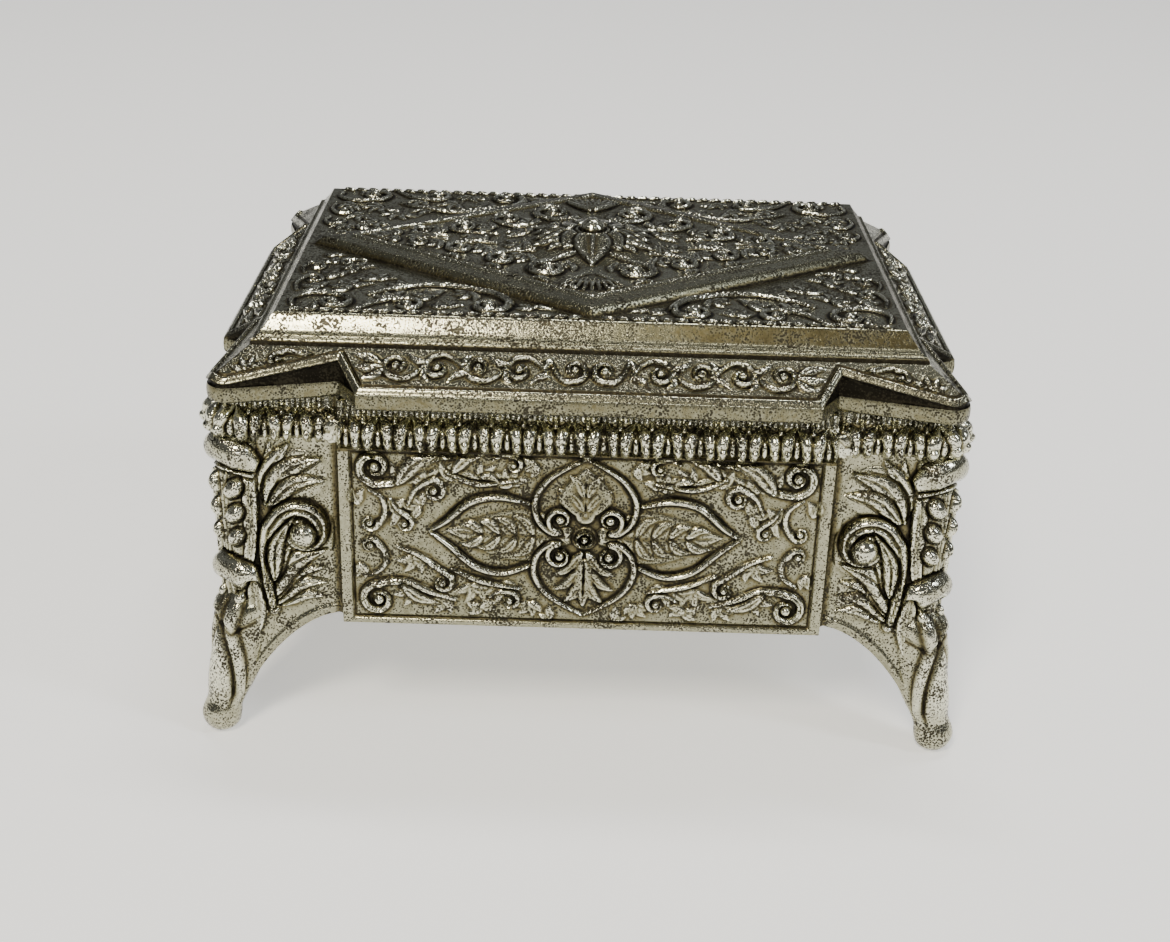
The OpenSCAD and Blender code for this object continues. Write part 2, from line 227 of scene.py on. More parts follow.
def silver_plate(name, sheltered):
    """Silver plate over a casting. Its colour runs from soot in the hollows to bright silver on the
    heights, through the given tone in sheltered places; pits of 0.1 to 0.4 mm break through it."""
    finish, tree, shader = new_finish(name)
    place = add(tree, "ShaderNodeTexCoord").outputs["Object"]
    # the hollow attribute holds each point's depth in the relief for the tarnish, and painted highlights and painted
    # shade where they are laid on
    hollow = add(tree, "ShaderNodeAttribute", {"attribute_name": "hollow"}).outputs["Fac"]

    # stains: cloudy patches about 4 mm across, and finer mottle of 0.8 mm
    stain = add(tree, "ShaderNodeTexNoise", Vector=place, Scale=1 / (4.0 * MM), Detail=4.0,
                Roughness=0.6).outputs["Fac"]
    mottle = add(tree, "ShaderNodeTexNoise", Vector=place, Scale=1 / (0.8 * MM), Detail=3.0,
                 Roughness=0.65).outputs["Fac"]
    # pits: round specks of 0.2 to 0.5 mm where the plate has failed, in two sizes, and thicker
    # inside stains
    pits = []
    for size, share, thin in ((0.40, 1.15, 0.29), (0.85, 1.15, 0.46)):
        speck = add(tree, "ShaderNodeTexVoronoi", Vector=place,
                    Scale=1 / (size * MM)).outputs["Distance"]
        crowd = add(tree, "ShaderNodeMath", {"operation": "MULTIPLY_ADD"}, _0=stain, _1=share,
                    _2=-thin).outputs[0]
        within = add(tree, "ShaderNodeMath", {"operation": "MULTIPLY_ADD"}, _0=mottle, _1=0.5,
                     _2=crowd).outputs[0]
        pit = add(tree, "ShaderNodeMath", {"operation": "SUBTRACT"}, _0=within, _1=speck).outputs[0]
        pits.append(add(tree, "ShaderNodeMapRange", {"clamp": True}, Value=pit, _1=0.06,
                        _2=0.24).outputs[0])
    pitted = add(tree, "ShaderNodeMath", {"operation": "MAXIMUM"}, _0=pits[0],
                 _1=pits[1]).outputs[0]

    # tarnish and painted light: the hollow value in millimetres, which also holds painted highlights
    # and painted shade in places, shaken by the mottle, as 0 for soot to 1 for bright
    shaken = add(tree, "ShaderNodeMath", {"operation": "MULTIPLY_ADD"}, _0=mottle, _1=0.16,
                 _2=hollow).outputs[0]
    stained = add(tree, "ShaderNodeMath", {"operation": "MULTIPLY_ADD"}, _0=stain, _1=0.14,
                  _2=shaken).outputs[0]
    tarnish_and_painted_light = add(tree, "ShaderNodeMapRange", {"clamp": True}, Value=stained, _1=-0.10,
                _2=0.30).outputs[0]
    tone = add(tree, "ShaderNodeValToRGB", {"ramp": [
        (0.0, colour(SOOT)), (0.22, colour("#2E2A20")), (0.40, colour(sheltered)),
        (0.54, colour(SHADE)), (0.78, colour(SILVER)), (1.0, colour("#DFDEC8"))]}, Fac=tarnish_and_painted_light)
    base = add(tree, "ShaderNodeMix", {"data_type": "RGBA"}, _0=pitted, _6=tone.outputs["Color"],
               _7=colour("#3A372D")).outputs[2]
    tree.links.new(base, shader.inputs["Base Color"])
    shader.inputs["Metallic"].default_value = 1.0

    # soot is rough, worn plate is smooth
    rough = add(tree, "ShaderNodeMapRange", {"clamp": True}, Value=tarnish_and_painted_light, _1=0.1, _2=0.9, _3=0.52,
                _4=0.10).outputs[0]
    cloudy = add(tree, "ShaderNodeMath", {"operation": "MULTIPLY_ADD"}, _0=stain, _1=0.18,
                 _2=rough).outputs[0]
    less = add(tree, "ShaderNodeMath", {"operation": "SUBTRACT"}, _0=cloudy, _1=0.12).outputs[0]
    rougher = add(tree, "ShaderNodeMath", {"operation": "MULTIPLY_ADD"}, _0=pitted, _1=0.26,
                  _2=less).outputs[0]
    tree.links.new(rougher, shader.inputs["Roughness"])

    # the casting's skin: grain of 0.35 mm, and the pits pressed in
    grain = add(tree, "ShaderNodeTexNoise", Vector=place, Scale=1 / (0.35 * MM), Detail=2.0,
                Roughness=0.6).outputs["Fac"]
    relief = add(tree, "ShaderNodeMath", {"operation": "MULTIPLY_ADD"}, _0=pitted, _1=-1.4,
                 _2=grain).outputs[0]
    bump = add(tree, "ShaderNodeBump", Strength=0.42, Distance=0.05 * MM, Height=relief)
    tree.links.new(bump.outputs["Normal"], shader.inputs["Normal"])
    return finish


CAST_SILVER = silver_plate("cast_zinc_silver_plated_tarnished", YELLOW)
SHEET_SILVER = silver_plate("rolled_sheet_silver_washed", SHADE)
print("plate:", CAST_SILVER.name, "and", SHEET_SILVER.name)


# %% [markdown]
# ## Wire, board and velvet
# The hinge pins are drawn steel wire, the lining's cards are pulp board and the lining is cotton
# velvet. Velvet is the hard one: its pile is dark seen face on and pale at a glancing angle, which
# is what the shader's sheen is for.

# %% Drawn wire
def drawn_wire():
    """Mild steel wire, drawn: fine lines along its length and a grey mirror."""
    finish, tree, shader = new_finish("drawn_mild_steel_wire")
    place = add(tree, "ShaderNodeTexCoord").outputs["Object"]
    along = add(tree, "ShaderNodeMapping", Vector=place, Scale=(0.05, 1, 1)).outputs[0]
    lines = add(tree, "ShaderNodeTexNoise", Vector=along, Scale=1 / (0.1 * MM)).outputs["Fac"]
    tone = add(tree, "ShaderNodeValToRGB", {"ramp": [
        (0.3, colour("#6E6C67")), (0.7, colour("#A9A8A2"))]}, Fac=lines)
    tree.links.new(tone.outputs["Color"], shader.inputs["Base Color"])
    rough = add(tree, "ShaderNodeMapRange", {}, Value=lines, _3=0.25, _4=0.45).outputs[0]
    tree.links.new(rough, shader.inputs["Roughness"])
    shader.inputs["Metallic"].default_value = 1.0
    return finish


# %% Pulp board
def grey_board():
    """Pulp board: short fibres pressed flat, dull and slightly flecked."""
    finish, tree, shader = new_finish("pulp_board")
    place = add(tree, "ShaderNodeTexCoord").outputs["Object"]
    fibre = add(tree, "ShaderNodeTexNoise", Vector=place, Scale=1 / (0.5 * MM), Detail=5.0,
                Distortion=1.5).outputs["Fac"]
    tone = add(tree, "ShaderNodeValToRGB", {"ramp": [
        (0.35, colour("#8C7A5A")), (0.65, colour("#B5A380"))]}, Fac=fibre)
    tree.links.new(tone.outputs["Color"], shader.inputs["Base Color"])
    shader.inputs["Roughness"].default_value = 0.9
    bump = add(tree, "ShaderNodeBump", Strength=0.4, Distance=0.05 * MM, Height=fibre)
    tree.links.new(bump.outputs["Normal"], shader.inputs["Normal"])
    return finish


# %% Velvet
def velvet():
    """Cotton velvet: a cut pile that is dark face on and pale at a glancing angle, which sheen
    gives, with the pile lying this way and that in patches about 6 mm across."""
    finish, tree, shader = new_finish("crimson_cotton_velvet")
    place = add(tree, "ShaderNodeTexCoord").outputs["Object"]
    lie = add(tree, "ShaderNodeTexNoise", Vector=place, Scale=1 / (6 * MM),
              Detail=3.0).outputs["Fac"]
    pile = add(tree, "ShaderNodeTexNoise", Vector=place, Scale=1 / (0.25 * MM),
               Detail=2.0).outputs["Fac"]
    both = add(tree, "ShaderNodeMath", {"operation": "MULTIPLY_ADD"}, _0=pile, _1=0.8,
               _2=lie).outputs[0]
    tone = add(tree, "ShaderNodeValToRGB", {"ramp": [
        (0.5, colour("#560A16")), (0.85, colour("#741120")),
        (1.2 / 1.3, colour("#861A2A"))]}, Fac=both)
    tree.links.new(tone.outputs["Color"], shader.inputs["Base Color"])
    shader.inputs["Roughness"].default_value = 0.95
    shader.inputs["Sheen Weight"].default_value = 0.7
    shader.inputs["Sheen Roughness"].default_value = 0.35
    shader.inputs["Sheen Tint"].default_value = colour("#D8788A")
    bump = add(tree, "ShaderNodeBump", Strength=0.6, Distance=0.2 * MM, Height=both)
    tree.links.new(bump.outputs["Normal"], shader.inputs["Normal"])
    return finish


WIRE, BOARD, VELVET = drawn_wire(), grey_board(), velvet()
print("others:", WIRE.name, BOARD.name, VELVET.name)


# %% [markdown]
# ## Relief as height maps
# The ornament on a cast box is low relief: a sculptor pushes wax up from a flat ground, and the
# mould repeats it. Here each face gets a height map, a grid of heights in millimetres over the
# face unrolled flat, and every stem, curl, leaf and bead is one stroke that raises it. A stroke
# also presses a fine groove round itself, because it is that dark outline that makes relief
# legible. Sculpting or a painted displacement would do too, but strokes keep every curl named,
# editable and the same on each run.

# %% Height maps
GRID = 0.12  # millimetres between samples of a height map
FRIEZE_PITCH = 5.32   # measured between two sprouts of the frieze, mm


class Sheet:
    """A height map over x0..x1 by y0..y1, in millimetres."""

    def __init__(self, x0, x1, y0, y1):
        self.x = np.arange(x0, x1 + GRID, GRID)
        self.y = np.arange(y0, y1 + GRID, GRID)
        self.h = np.zeros((len(self.y), len(self.x)))

    def window(self, low, high):
        """The slices of the grid between two corners."""
        i = np.searchsorted(self.x, [low[0], high[0]])
        j = np.searchsorted(self.y, [low[1], high[1]])
        return slice(j[0], j[1]), slice(i[0], i[1])

    def lay(self, rows, cols, new, gap, bite):
        """Lay a new form over the old: the old sinks by a share near the new form's edge, then the
        higher of the two stays."""
        old = self.h[rows, cols]
        old = old * (1 - bite * np.exp(-((np.maximum(gap, 0) / 0.28) ** 2)))
        self.h[rows, cols] = np.maximum(old, new)

    def mirrored(self, axes):
        """Fold in the mirror image of the map across x = 0, y = 0 or both."""
        if "x" in axes:
            self.h = np.maximum(self.h, self.h[:, ::-1])
        if "y" in axes:
            self.h = np.maximum(self.h, self.h[::-1])

    def sample(self, x, y, values=None):
        """Bilinear reading of the map at any points."""
        values = self.h if values is None else values
        fx = np.clip((x - self.x[0]) / GRID, 0, len(self.x) - 1.001)
        fy = np.clip((y - self.y[0]) / GRID, 0, len(self.y) - 1.001)
        i, j = fx.astype(int), fy.astype(int)
        a, b = fx - i, fy - j
        return (values[j, i] * (1 - a) + values[j, i + 1] * a) * (1 - b) + (
            values[j + 1, i] * (1 - a) + values[j + 1, i + 1] * a) * b


# %% Curves through points
def smooth_path(points, count=40):
    """A Catmull-Rom curve through the points, resampled to even steps along its length."""
    p = np.asarray(points, float)
    if len(p) == 2:
        p = np.array([p[0], p.mean(0), p[1]])
    ends = np.vstack([2 * p[0] - p[1], p, 2 * p[-1] - p[-2]])
    t = np.linspace(0, 1, 9)[:-1, None]
    a, b, c, d = (ends[k:len(ends) - 3 + k, None] for k in range(4))
    curve = 0.5 * (2 * b + (c - a) * t + (2 * a - 5 * b + 4 * c - d) * t**2
                   + (3 * b - a - 3 * c + d) * t**3)
    curve = np.vstack([curve.reshape(-1, p.shape[1]), p[-1:]])
    run = np.r_[0, np.cumsum(np.linalg.norm(np.diff(curve, axis=0), axis=1))]
    at = np.linspace(0, run[-1], count)
    return np.stack([np.interp(at, run, curve[:, k]) for k in range(p.shape[1])], 1)


# %% Sections across a stroke
def round_top(q, t):
    """A half-round section: the root of one minus the square of the distance across."""
    return np.sqrt(np.clip(1 - q * q, 0, 1))


def grooved(q, t):
    """A half-round section with a groove along its middle, as on a split stem."""
    return round_top(q, t) * (1 - 0.45 * np.exp(-((q / 0.22) ** 2)))


def leaf_top(q, t):
    """A leaf's section: it rises from its edge, dips at the midrib and carries slanting veins."""
    rib = 1 - 0.42 * np.exp(-((q / 0.13) ** 2))
    veins = 1 - 0.13 * (0.5 + 0.5 * np.cos(2 * np.pi * (6 * t - 1.5 * np.abs(q))))
    return np.clip(1 - np.abs(q) ** 2.6, 0, 1) ** 0.6 * rib * veins


def smooth_leaf(q, t):
    """A smooth cupped leaf: high along its edge, hollow between the edge and a raised midrib."""
    a = np.abs(q)
    return np.clip(1 - a**7, 0, 1) * (0.52 + 0.48 * a**1.6 + 0.3 * np.exp(-((q / 0.10) ** 2)))


# %% Strokes and domes
def stroke(sheet, points, width, height, shape=round_top, bite=0.75, count=40):
    """Raise a band along a path. Its half width and height follow the given values from the start
    of the path to its end, and its section is a function of how far across, -1 to 1, and how far
    along, 0 to 1, a point lies."""
    path = smooth_path(points, count)
    t = np.linspace(0, 1, count)
    w = np.interp(t, np.linspace(0, 1, len(width)), width)
    k = np.interp(t, np.linspace(0, 1, len(height)), height)
    reach = w.max() + 0.7
    rows, cols = sheet.window(path.min(0) - reach, path.max(0) + reach)
    if rows.stop - rows.start < 1 or cols.stop - cols.start < 1:
        return
    gx, gy = np.meshgrid(sheet.x[cols], sheet.y[rows])
    a, d = path[:-1], np.diff(path, axis=0)
    rx, ry = gx[..., None] - a[:, 0], gy[..., None] - a[:, 1]
    along = np.clip((rx * d[:, 0] + ry * d[:, 1]) / ((d * d).sum(1) + 1e-9), 0, 1)
    far = np.hypot(rx - along * d[:, 0], ry - along * d[:, 1])
    wide = w[:-1] + along * np.diff(w) + 1e-6
    best = np.argmin(far / wide if shape is round_top else far, axis=-1)
    pick = tuple(np.indices(best.shape)) + (best,)
    side = np.sign(d[best, 0] * ry[pick] - d[best, 1] * rx[pick])
    q = side * far[pick] / wide[pick]
    at = (best + along[pick]) / (count - 1)
    new = np.where(np.abs(q) < 1, shape(np.clip(q, -1, 1), at) * np.interp(at, t, k), 0)
    sheet.lay(rows, cols, new, far[pick] - wide[pick], bite)


def bead(sheet, x, y, r, height, stretch=1.0, turn=0.0, bite=0.9):
    """A dome: a half ellipsoid of radius r, drawn out along one direction."""
    rows, cols = sheet.window((x - 2 * r * stretch - 1, y - 2 * r * stretch - 1),
                              (x + 2 * r * stretch + 1, y + 2 * r * stretch + 1))
    gx, gy = np.meshgrid(sheet.x[cols] - x, sheet.y[rows] - y)
    c, s = np.cos(np.radians(turn)), np.sin(np.radians(turn))
    far = np.hypot((gx * c + gy * s) / stretch, gy * c - gx * s)
    sheet.lay(rows, cols, height * np.sqrt(np.clip(1 - (far / r) ** 2, 0, 1)), far - r, bite)


# %% Leaves, curls and tufts
def leaf(sheet, base, tip, width, height, bend=0.0, shape=leaf_top, bite=0.75):
    """A pointed leaf from base to tip: its half width swells as a sine and its path bows sideways
    by a share of its length."""
    base, tip = np.asarray(base, float), np.asarray(tip, float)
    across = np.array([base[1] - tip[1], tip[0] - base[0]])
    path = [base, (base + tip) / 2 + across * bend, tip]
    swell = width * np.sin(np.pi * np.linspace(0.06, 1, 14) ** 0.75) + 0.02
    stroke(sheet, path, swell, height * np.linspace(1, 0.55, 5), shape, bite, count=26)


def ray(sheet, centre, bearing, near, far, *form):
    """A leaf that points away from a centre: a bearing in degrees, and from how near to how far."""
    away = np.array([np.cos(np.radians(bearing)), np.sin(np.radians(bearing))])
    leaf(sheet, centre + near * away, centre + far * away, *form)


def spiral(centre, radius, start, turn, inner=0.28, count=16):
    """Points of a curl: the angle runs from start by turn degrees while the radius shrinks evenly
    to a share of itself."""
    a = np.radians(start + turn * np.linspace(0, 1, count))
    r = radius * np.linspace(1, inner, count) ** 1.15
    return np.stack([centre[0] + r * np.cos(a), centre[1] + r * np.sin(a)], 1)


def curl(sheet, tail, centre, radius, start, turn, width, height, eye=0.34, shape=grooved):
    """A scroll: a stem along the tail's points that winds into a curl with a bead for its eye."""
    path = np.vstack([np.reshape(tail, (-1, 2)), spiral(centre, radius, start, turn)])
    stroke(sheet, path, [width * 0.45, width, width, width * 0.7], [height * 0.8, height, height],
           shape, count=64)
    bead(sheet, *centre, radius * eye, height * 1.25)


def frond(sheet, points, leaves, length, width, height, angle=40, sides=(1, -1), stem=0.26):
    """Leaves set along a stem by turns: each starts on the path, turns off it by the angle, bends
    back towards it and is shorter the nearer it is to the tip. A last leaf ends the stem."""
    path = smooth_path(points, 60)
    stroke(sheet, points, [stem, stem, stem * 0.5], [height * 0.8, height, height * 0.7])
    for i in range(leaves):
        for n, side in enumerate(sides):
            k = int(4 + 44 * (i + 0.4 * n) / max(leaves - 1, 1)) % 58
            ahead = path[min(k + 2, 59)] - path[max(k - 1, 0)]
            a = np.arctan2(ahead[1], ahead[0]) + side * np.radians(angle)
            size = length * (1 - 0.45 * i / leaves)
            tip = path[k] + size * np.array([np.cos(a), np.sin(a)])
            leaf(sheet, path[k], tip, width * size / length, height, bend=-0.2 * side)
    end = path[-1] + (path[-1] - path[-4]) / np.linalg.norm(path[-1] - path[-4]) * length * 0.5
    leaf(sheet, path[-6], end, width * 0.7, height)


def spray(sheet, base, aims, length, width, height, bend=0.0):
    """A tuft of overlapping leaves from one foot, one for each bearing in degrees."""
    for bearing in aims:
        ray(sheet, base, bearing, 0, length, width, height, bend, leaf_top, 0.35)


# %% How deep a point lies
def hollows(values, reach):
    """How far each sample lies above the mean height round it: the map less a copy of itself
    blurred by a Gaussian of the given reach in millimetres."""
    r = int(3 * reach / GRID)
    kernel = np.exp(-0.5 * (np.arange(-r, r + 1) * GRID / reach) ** 2)
    kernel /= kernel.sum()
    padded = np.pad(values, r, mode="edge")
    rows = np.apply_along_axis(np.convolve, 1, padded, kernel, "valid")
    return values - np.apply_along_axis(np.convolve, 0, rows, kernel, "valid")


# %% [markdown]
# ## The long panels
# Each long panel carries a rosette between two hearts of curling stems, a broad almond leaf at
# either hand, curls in the corners and leafy stems between them. The left half is drawn and
# mirrored, as the pattern maker would do.

# %% Half a heart
def heart(s, up):
    """The left side of a heart, pointing up or down: a ridge from its point out, round and in to a
    curl with a bead."""
    ridge_line = [(-0.1, 14.9), (-3.2, 13.2), (-6.6, 10.6), (-8.5, 7.0), (-8.0, 3.4), (-5.8, 1.1)]
    curl(s, [(x, y * up) for x, y in ridge_line], (-4.2, 3.5 * up), 2.4, 180 + 90 * up, -450 * up,
         0.55, 0.95, 0.36, round_top)


# %% Ornament of the long panels
def long_panel_ornament():
    """The left half is drawn and mirrored: four petals round a rosette, rinceaux in the corners,
    and tufts of leaves that fill all that is left. The origin is the rosette."""
    s = Sheet(-41.6, 41.6, -18, 17)
    # tufts that fill the field
    tufts = [((-30.5, 9.6), (15, 50, 85, 120), 4.6), ((-26.5, 9.0), (20, 60, 100, 140), 4.2),
             ((-22.5, 10.4), (10, 45, 80, 120), 4.0), ((-17.0, 10.2), (15, 60, 100, 150), 3.8),
             ((-12.5, 9.6), (20, 70, 110, 160), 3.4), ((-28.0, 5.2), (60, 110, 170, 230), 3.4),
             ((-32.0, 4.0), (60, 110, 250), 3.0), ((-38.4, 5.4), (70, 110), 3.0),
             ((-38.4, -6.2), (250, 290), 3.0), ((-29.0, -4.5), (190, 240, 290, 340), 3.6),
             ((-29.5, -10.6), (200, 250, 300, 350), 4.0),
             ((-24.0, -12.6), (190, 240, 290, 20), 3.4),
             ((-19.0, -9.6), (200, 250, 300, 340), 4.2), ((-14.5, -9.6), (210, 260, 310, 350), 3.8),
             ((-17.5, -14.0), (160, 210, 340, 20), 2.8), ((-9.2, -13.0), (180, 230, 280, 320), 2.8),
             ((-8.4, 13.6), (150, 200, 250), 2.6), ((-5.2, -15.6), (170, 100), 2.4)]
    for base, aims, size in tufts:
        spray(s, base, aims, size, 0.85, 0.62, 0.12)
    # corner rinceaux
    curl(s, [(-21.8, 14.6), (-25.2, 14.2), (-28.2, 12.2), (-31.0, 10.0), (-35.0, 9.2)],
         (-35.4, 12.4), 3.0, 255, -430, 0.72, 0.95, 0.3)
    leaf(s, (-31.6, 9.6), (-24.2, 15.2), 1.5, 0.95, 0.12)
    curl(s, [(-22.0, -12.6), (-26.4, -11.2), (-30.6, -9.4), (-34.6, -9.6)], (-35.2, -13.0), 3.2, 80,
         430, 0.72, 0.95, 0.3)
    leaf(s, (-31.0, -10.2), (-24.6, -13.4), 1.1, 0.9, -0.12)
    # the two C-scrolls up the end
    curl(s, [(-36.6, 8.2), (-34.4, 6.6), (-33.8, 4.0), (-34.9, 1.6)], (-36.5, 1.9), 1.5, 0, -380,
         0.48, 0.75, 0.42)
    curl(s, [(-36.6, -8.4), (-34.4, -6.8), (-33.8, -4.4), (-34.9, -2.2)], (-36.5, -2.5), 1.5, 0,
         380, 0.48, 0.75, 0.42)
    curl(s, [(-33.0, 6.6), (-31.8, 4.6), (-30.2, 3.4)], (-30.6, 1.8), 1.5, 70, -380, 0.42, 0.7, 0.4)
    # stems beside the petal
    curl(s, [(-32.0, -2.6), (-28.4, -4.0), (-25.2, -6.4), (-22.6, -8.2)], (-24.2, -9.4), 1.9, 60,
         -390, 0.5, 0.85, 0.36)
    curl(s, [(-30.0, 5.4), (-28.6, 8.4), (-25.6, 10.4)], (-25.6, 8.2), 2.0, 80, -390, 0.5, 0.8,
         0.36)
    stroke(s, [(-22.6, -6.6), (-17.6, -8.8), (-10.8, -10.2)], [0.3, 0.55, 0.3], [0.7, 0.9, 0.6])
    stroke(s, [(-23.4, 11.8), (-18.4, 9.8), (-11.6, 10.6)], [0.3, 0.55, 0.3], [0.7, 0.9, 0.6])
    curl(s, [(-16.2, -12.0), (-14.6, -10.9)], (-12.6, -12.6), 1.8, 100, -380, 0.42, 0.8, 0.36)
    curl(s, [(-15.8, 14.2), (-14.0, 15.0)], (-12.2, 13.4), 1.5, 90, -380, 0.4, 0.75, 0.36)
    leaf(s, (-22.2, 12.0), (-17.2, 15.0), 1.1, 0.85, 0.14)
    leaf(s, (-17.6, 11.2), (-14.6, 10.2), 0.8, 0.8, 0.14)
    # the side petal: a veined leaf in an almond ridge
    leaf(s, (-3.5, 0.4), (-23.6, 0.8), 5.0, 0.75, 0.02)
    for k in range(5):
        x = -7.5 - 2.9 * k
        leaf(s, (x + 1.6, 0.9), (x - 2.2, 4.9 - 0.75 * k), 0.95, 0.9, -0.18, bite=0.4)
        leaf(s, (x + 1.6, -0.3), (x - 2.2, -4.5 + 0.75 * k), 0.95, 0.9, 0.18, bite=0.4)
    stroke(s, [(-26.4, 0.7), (-23.6, 2.6), (-19.4, 6.4), (-14.6, 7.5), (-9.4, 6.4)],
           [0.3, 0.62, 0.7, 0.6, 0.3], [0.8, 1.15, 1.15, 0.9])
    stroke(s, [(-26.2, 0.5), (-23.0, -2.0), (-18.6, -5.9), (-13.8, -7.0), (-8.6, -5.2)],
           [0.3, 0.55, 0.62, 0.6, 0.3], [0.8, 1.05, 1.05, 0.9])
    # the upper and lower petals: hearts with a leaf in each
    leaf(s, (0, 4.4), (0, 13.2), 4.6, 0.8, 0, smooth_leaf)
    for x, y in ((-4.6, 9.2), (-2.8, 11.8)):
        leaf(s, (-0.4, y - 3.6), (x, y), 1.0, 0.8, -0.12)
    heart(s, 1)
    leaf(s, (0, -4.4), (0, -13.6), 2.0, 1.0)
    for x, y in ((-5.4, -7.4), (-5.2, -10.2), (-3.4, -12.6)):
        leaf(s, (-0.5, y + 4.4), (x, y), 1.15, 0.85, 0.12)
    heart(s, -1)
    s.mirrored("x")
    bead(s, 0, 0, 2.2, 0.8)
    stroke(s, np.vstack([spiral((0, 0), 1.3, 0, 360, 1.0)]), [0.3], [1.4])
    bead(s, 0, 0, 0.75, 1.6)
    return s


# %% [markdown]
# ## The band's running scroll
# A wave of curls runs round the sloping band of the lid, each curl springing from the one before,
# with a split leaf in every fork. One function draws a whole side's band from the curls' places,
# because a repeat laid end to end would not let the wave finish in its leaf before the corner.

# %% Running scroll of the lid's band
def band_ornament(half, centres, ear):
    """A running wave: curls spring from one another out from the middle, turning up and down by
    turns, each with a split leaf in its fork; a three-lobed leaf ends the row. In the ear stand a
    fan leaf, a volute and a bud. y runs up the band from its lower edge."""
    s = Sheet(-half - 8, half + 8, -0.5, 10)
    level = 5.8          # height of the wave's middle line on the band
    curl(s, [(6.3, level + 1.9), (5.4, level - 0.6), (3.9, level - 2.1)], (2.5, level + 0.1), 2.2,
         -75, -420, 0.42, 0.9, 0.3, round_top)
    for i, x in enumerate(centres):
        up = 1 if i % 2 else -1
        tail = [(x - 5.0, level + 1.3 * up), (x - 3.8, level - 0.8 * up),
                (x - 1.6, level - 2.35 * up)]
        curl(s, tail, (x, level + 0.1 * up), 2.3, -80 * up, 420 * up, 0.42, 0.9, 0.3, round_top)
        leaf(s, (x - 4.7, level + 0.9 * up), (x - 1.8, level + 2.8 * up), 0.6, 0.8, -0.15 * up)
        leaf(s, (x - 4.4, level - 0.6 * up), (x - 5.6, level - 2.7 * up), 0.55, 0.7, 0.15 * up)
    x = centres[-1] + 2.6
    leaf(s, (x, level + 0.2), (x + 4.6, level + 2.2), 1.0, 0.8, 0.1)
    leaf(s, (x - 0.2, level - 0.4), (x + 4.9, level), 0.9, 0.8, -0.05)
    leaf(s, (x - 0.4, level - 0.8), (x + 3.4, level - 2.4), 0.7, 0.7, -0.12)
    if ear:      # the front and back bands run out into the ears
        leaf(s, (45.4, 7.2), (50.2, 7.9), 0.6, 0.7, 0.1)
        curl(s, [(47.4, 7.6), (49.8, 8.2)], (51.2, 6.2), 1.5, 100, -380, 0.42, 0.85, 0.36,
             round_top)
        leaf(s, (49.2, 5.8), (45.8, 6.2), 0.6, 0.7, 0.1)
        for bearing in (25, 62, 98, 135):
            ray(s, (55.8, 3.6), bearing, 0.6, 3.6, 0.62, 0.85)
    s.mirrored("x")
    return s


FRONT_BAND = band_ornament(56, (11.6, 18.4, 25.1, 31.8), True)
SIDE_BAND = band_ornament(38, (10.6, 17.2), False)
print("bands rise to", FRONT_BAND.h.max().round(2), "and", SIDE_BAND.h.max().round(2), "mm")


# %% [markdown]
# ## The corner posts' ornament
# The posts carry the boldest relief: a pod on the corner itself, buds above and below it, and a
# great scroll with a ball in its eye on either face, among leaves. It is drawn once, unrolled flat
# from the corner's edge outwards, and both faces of all four posts read the same sheet.

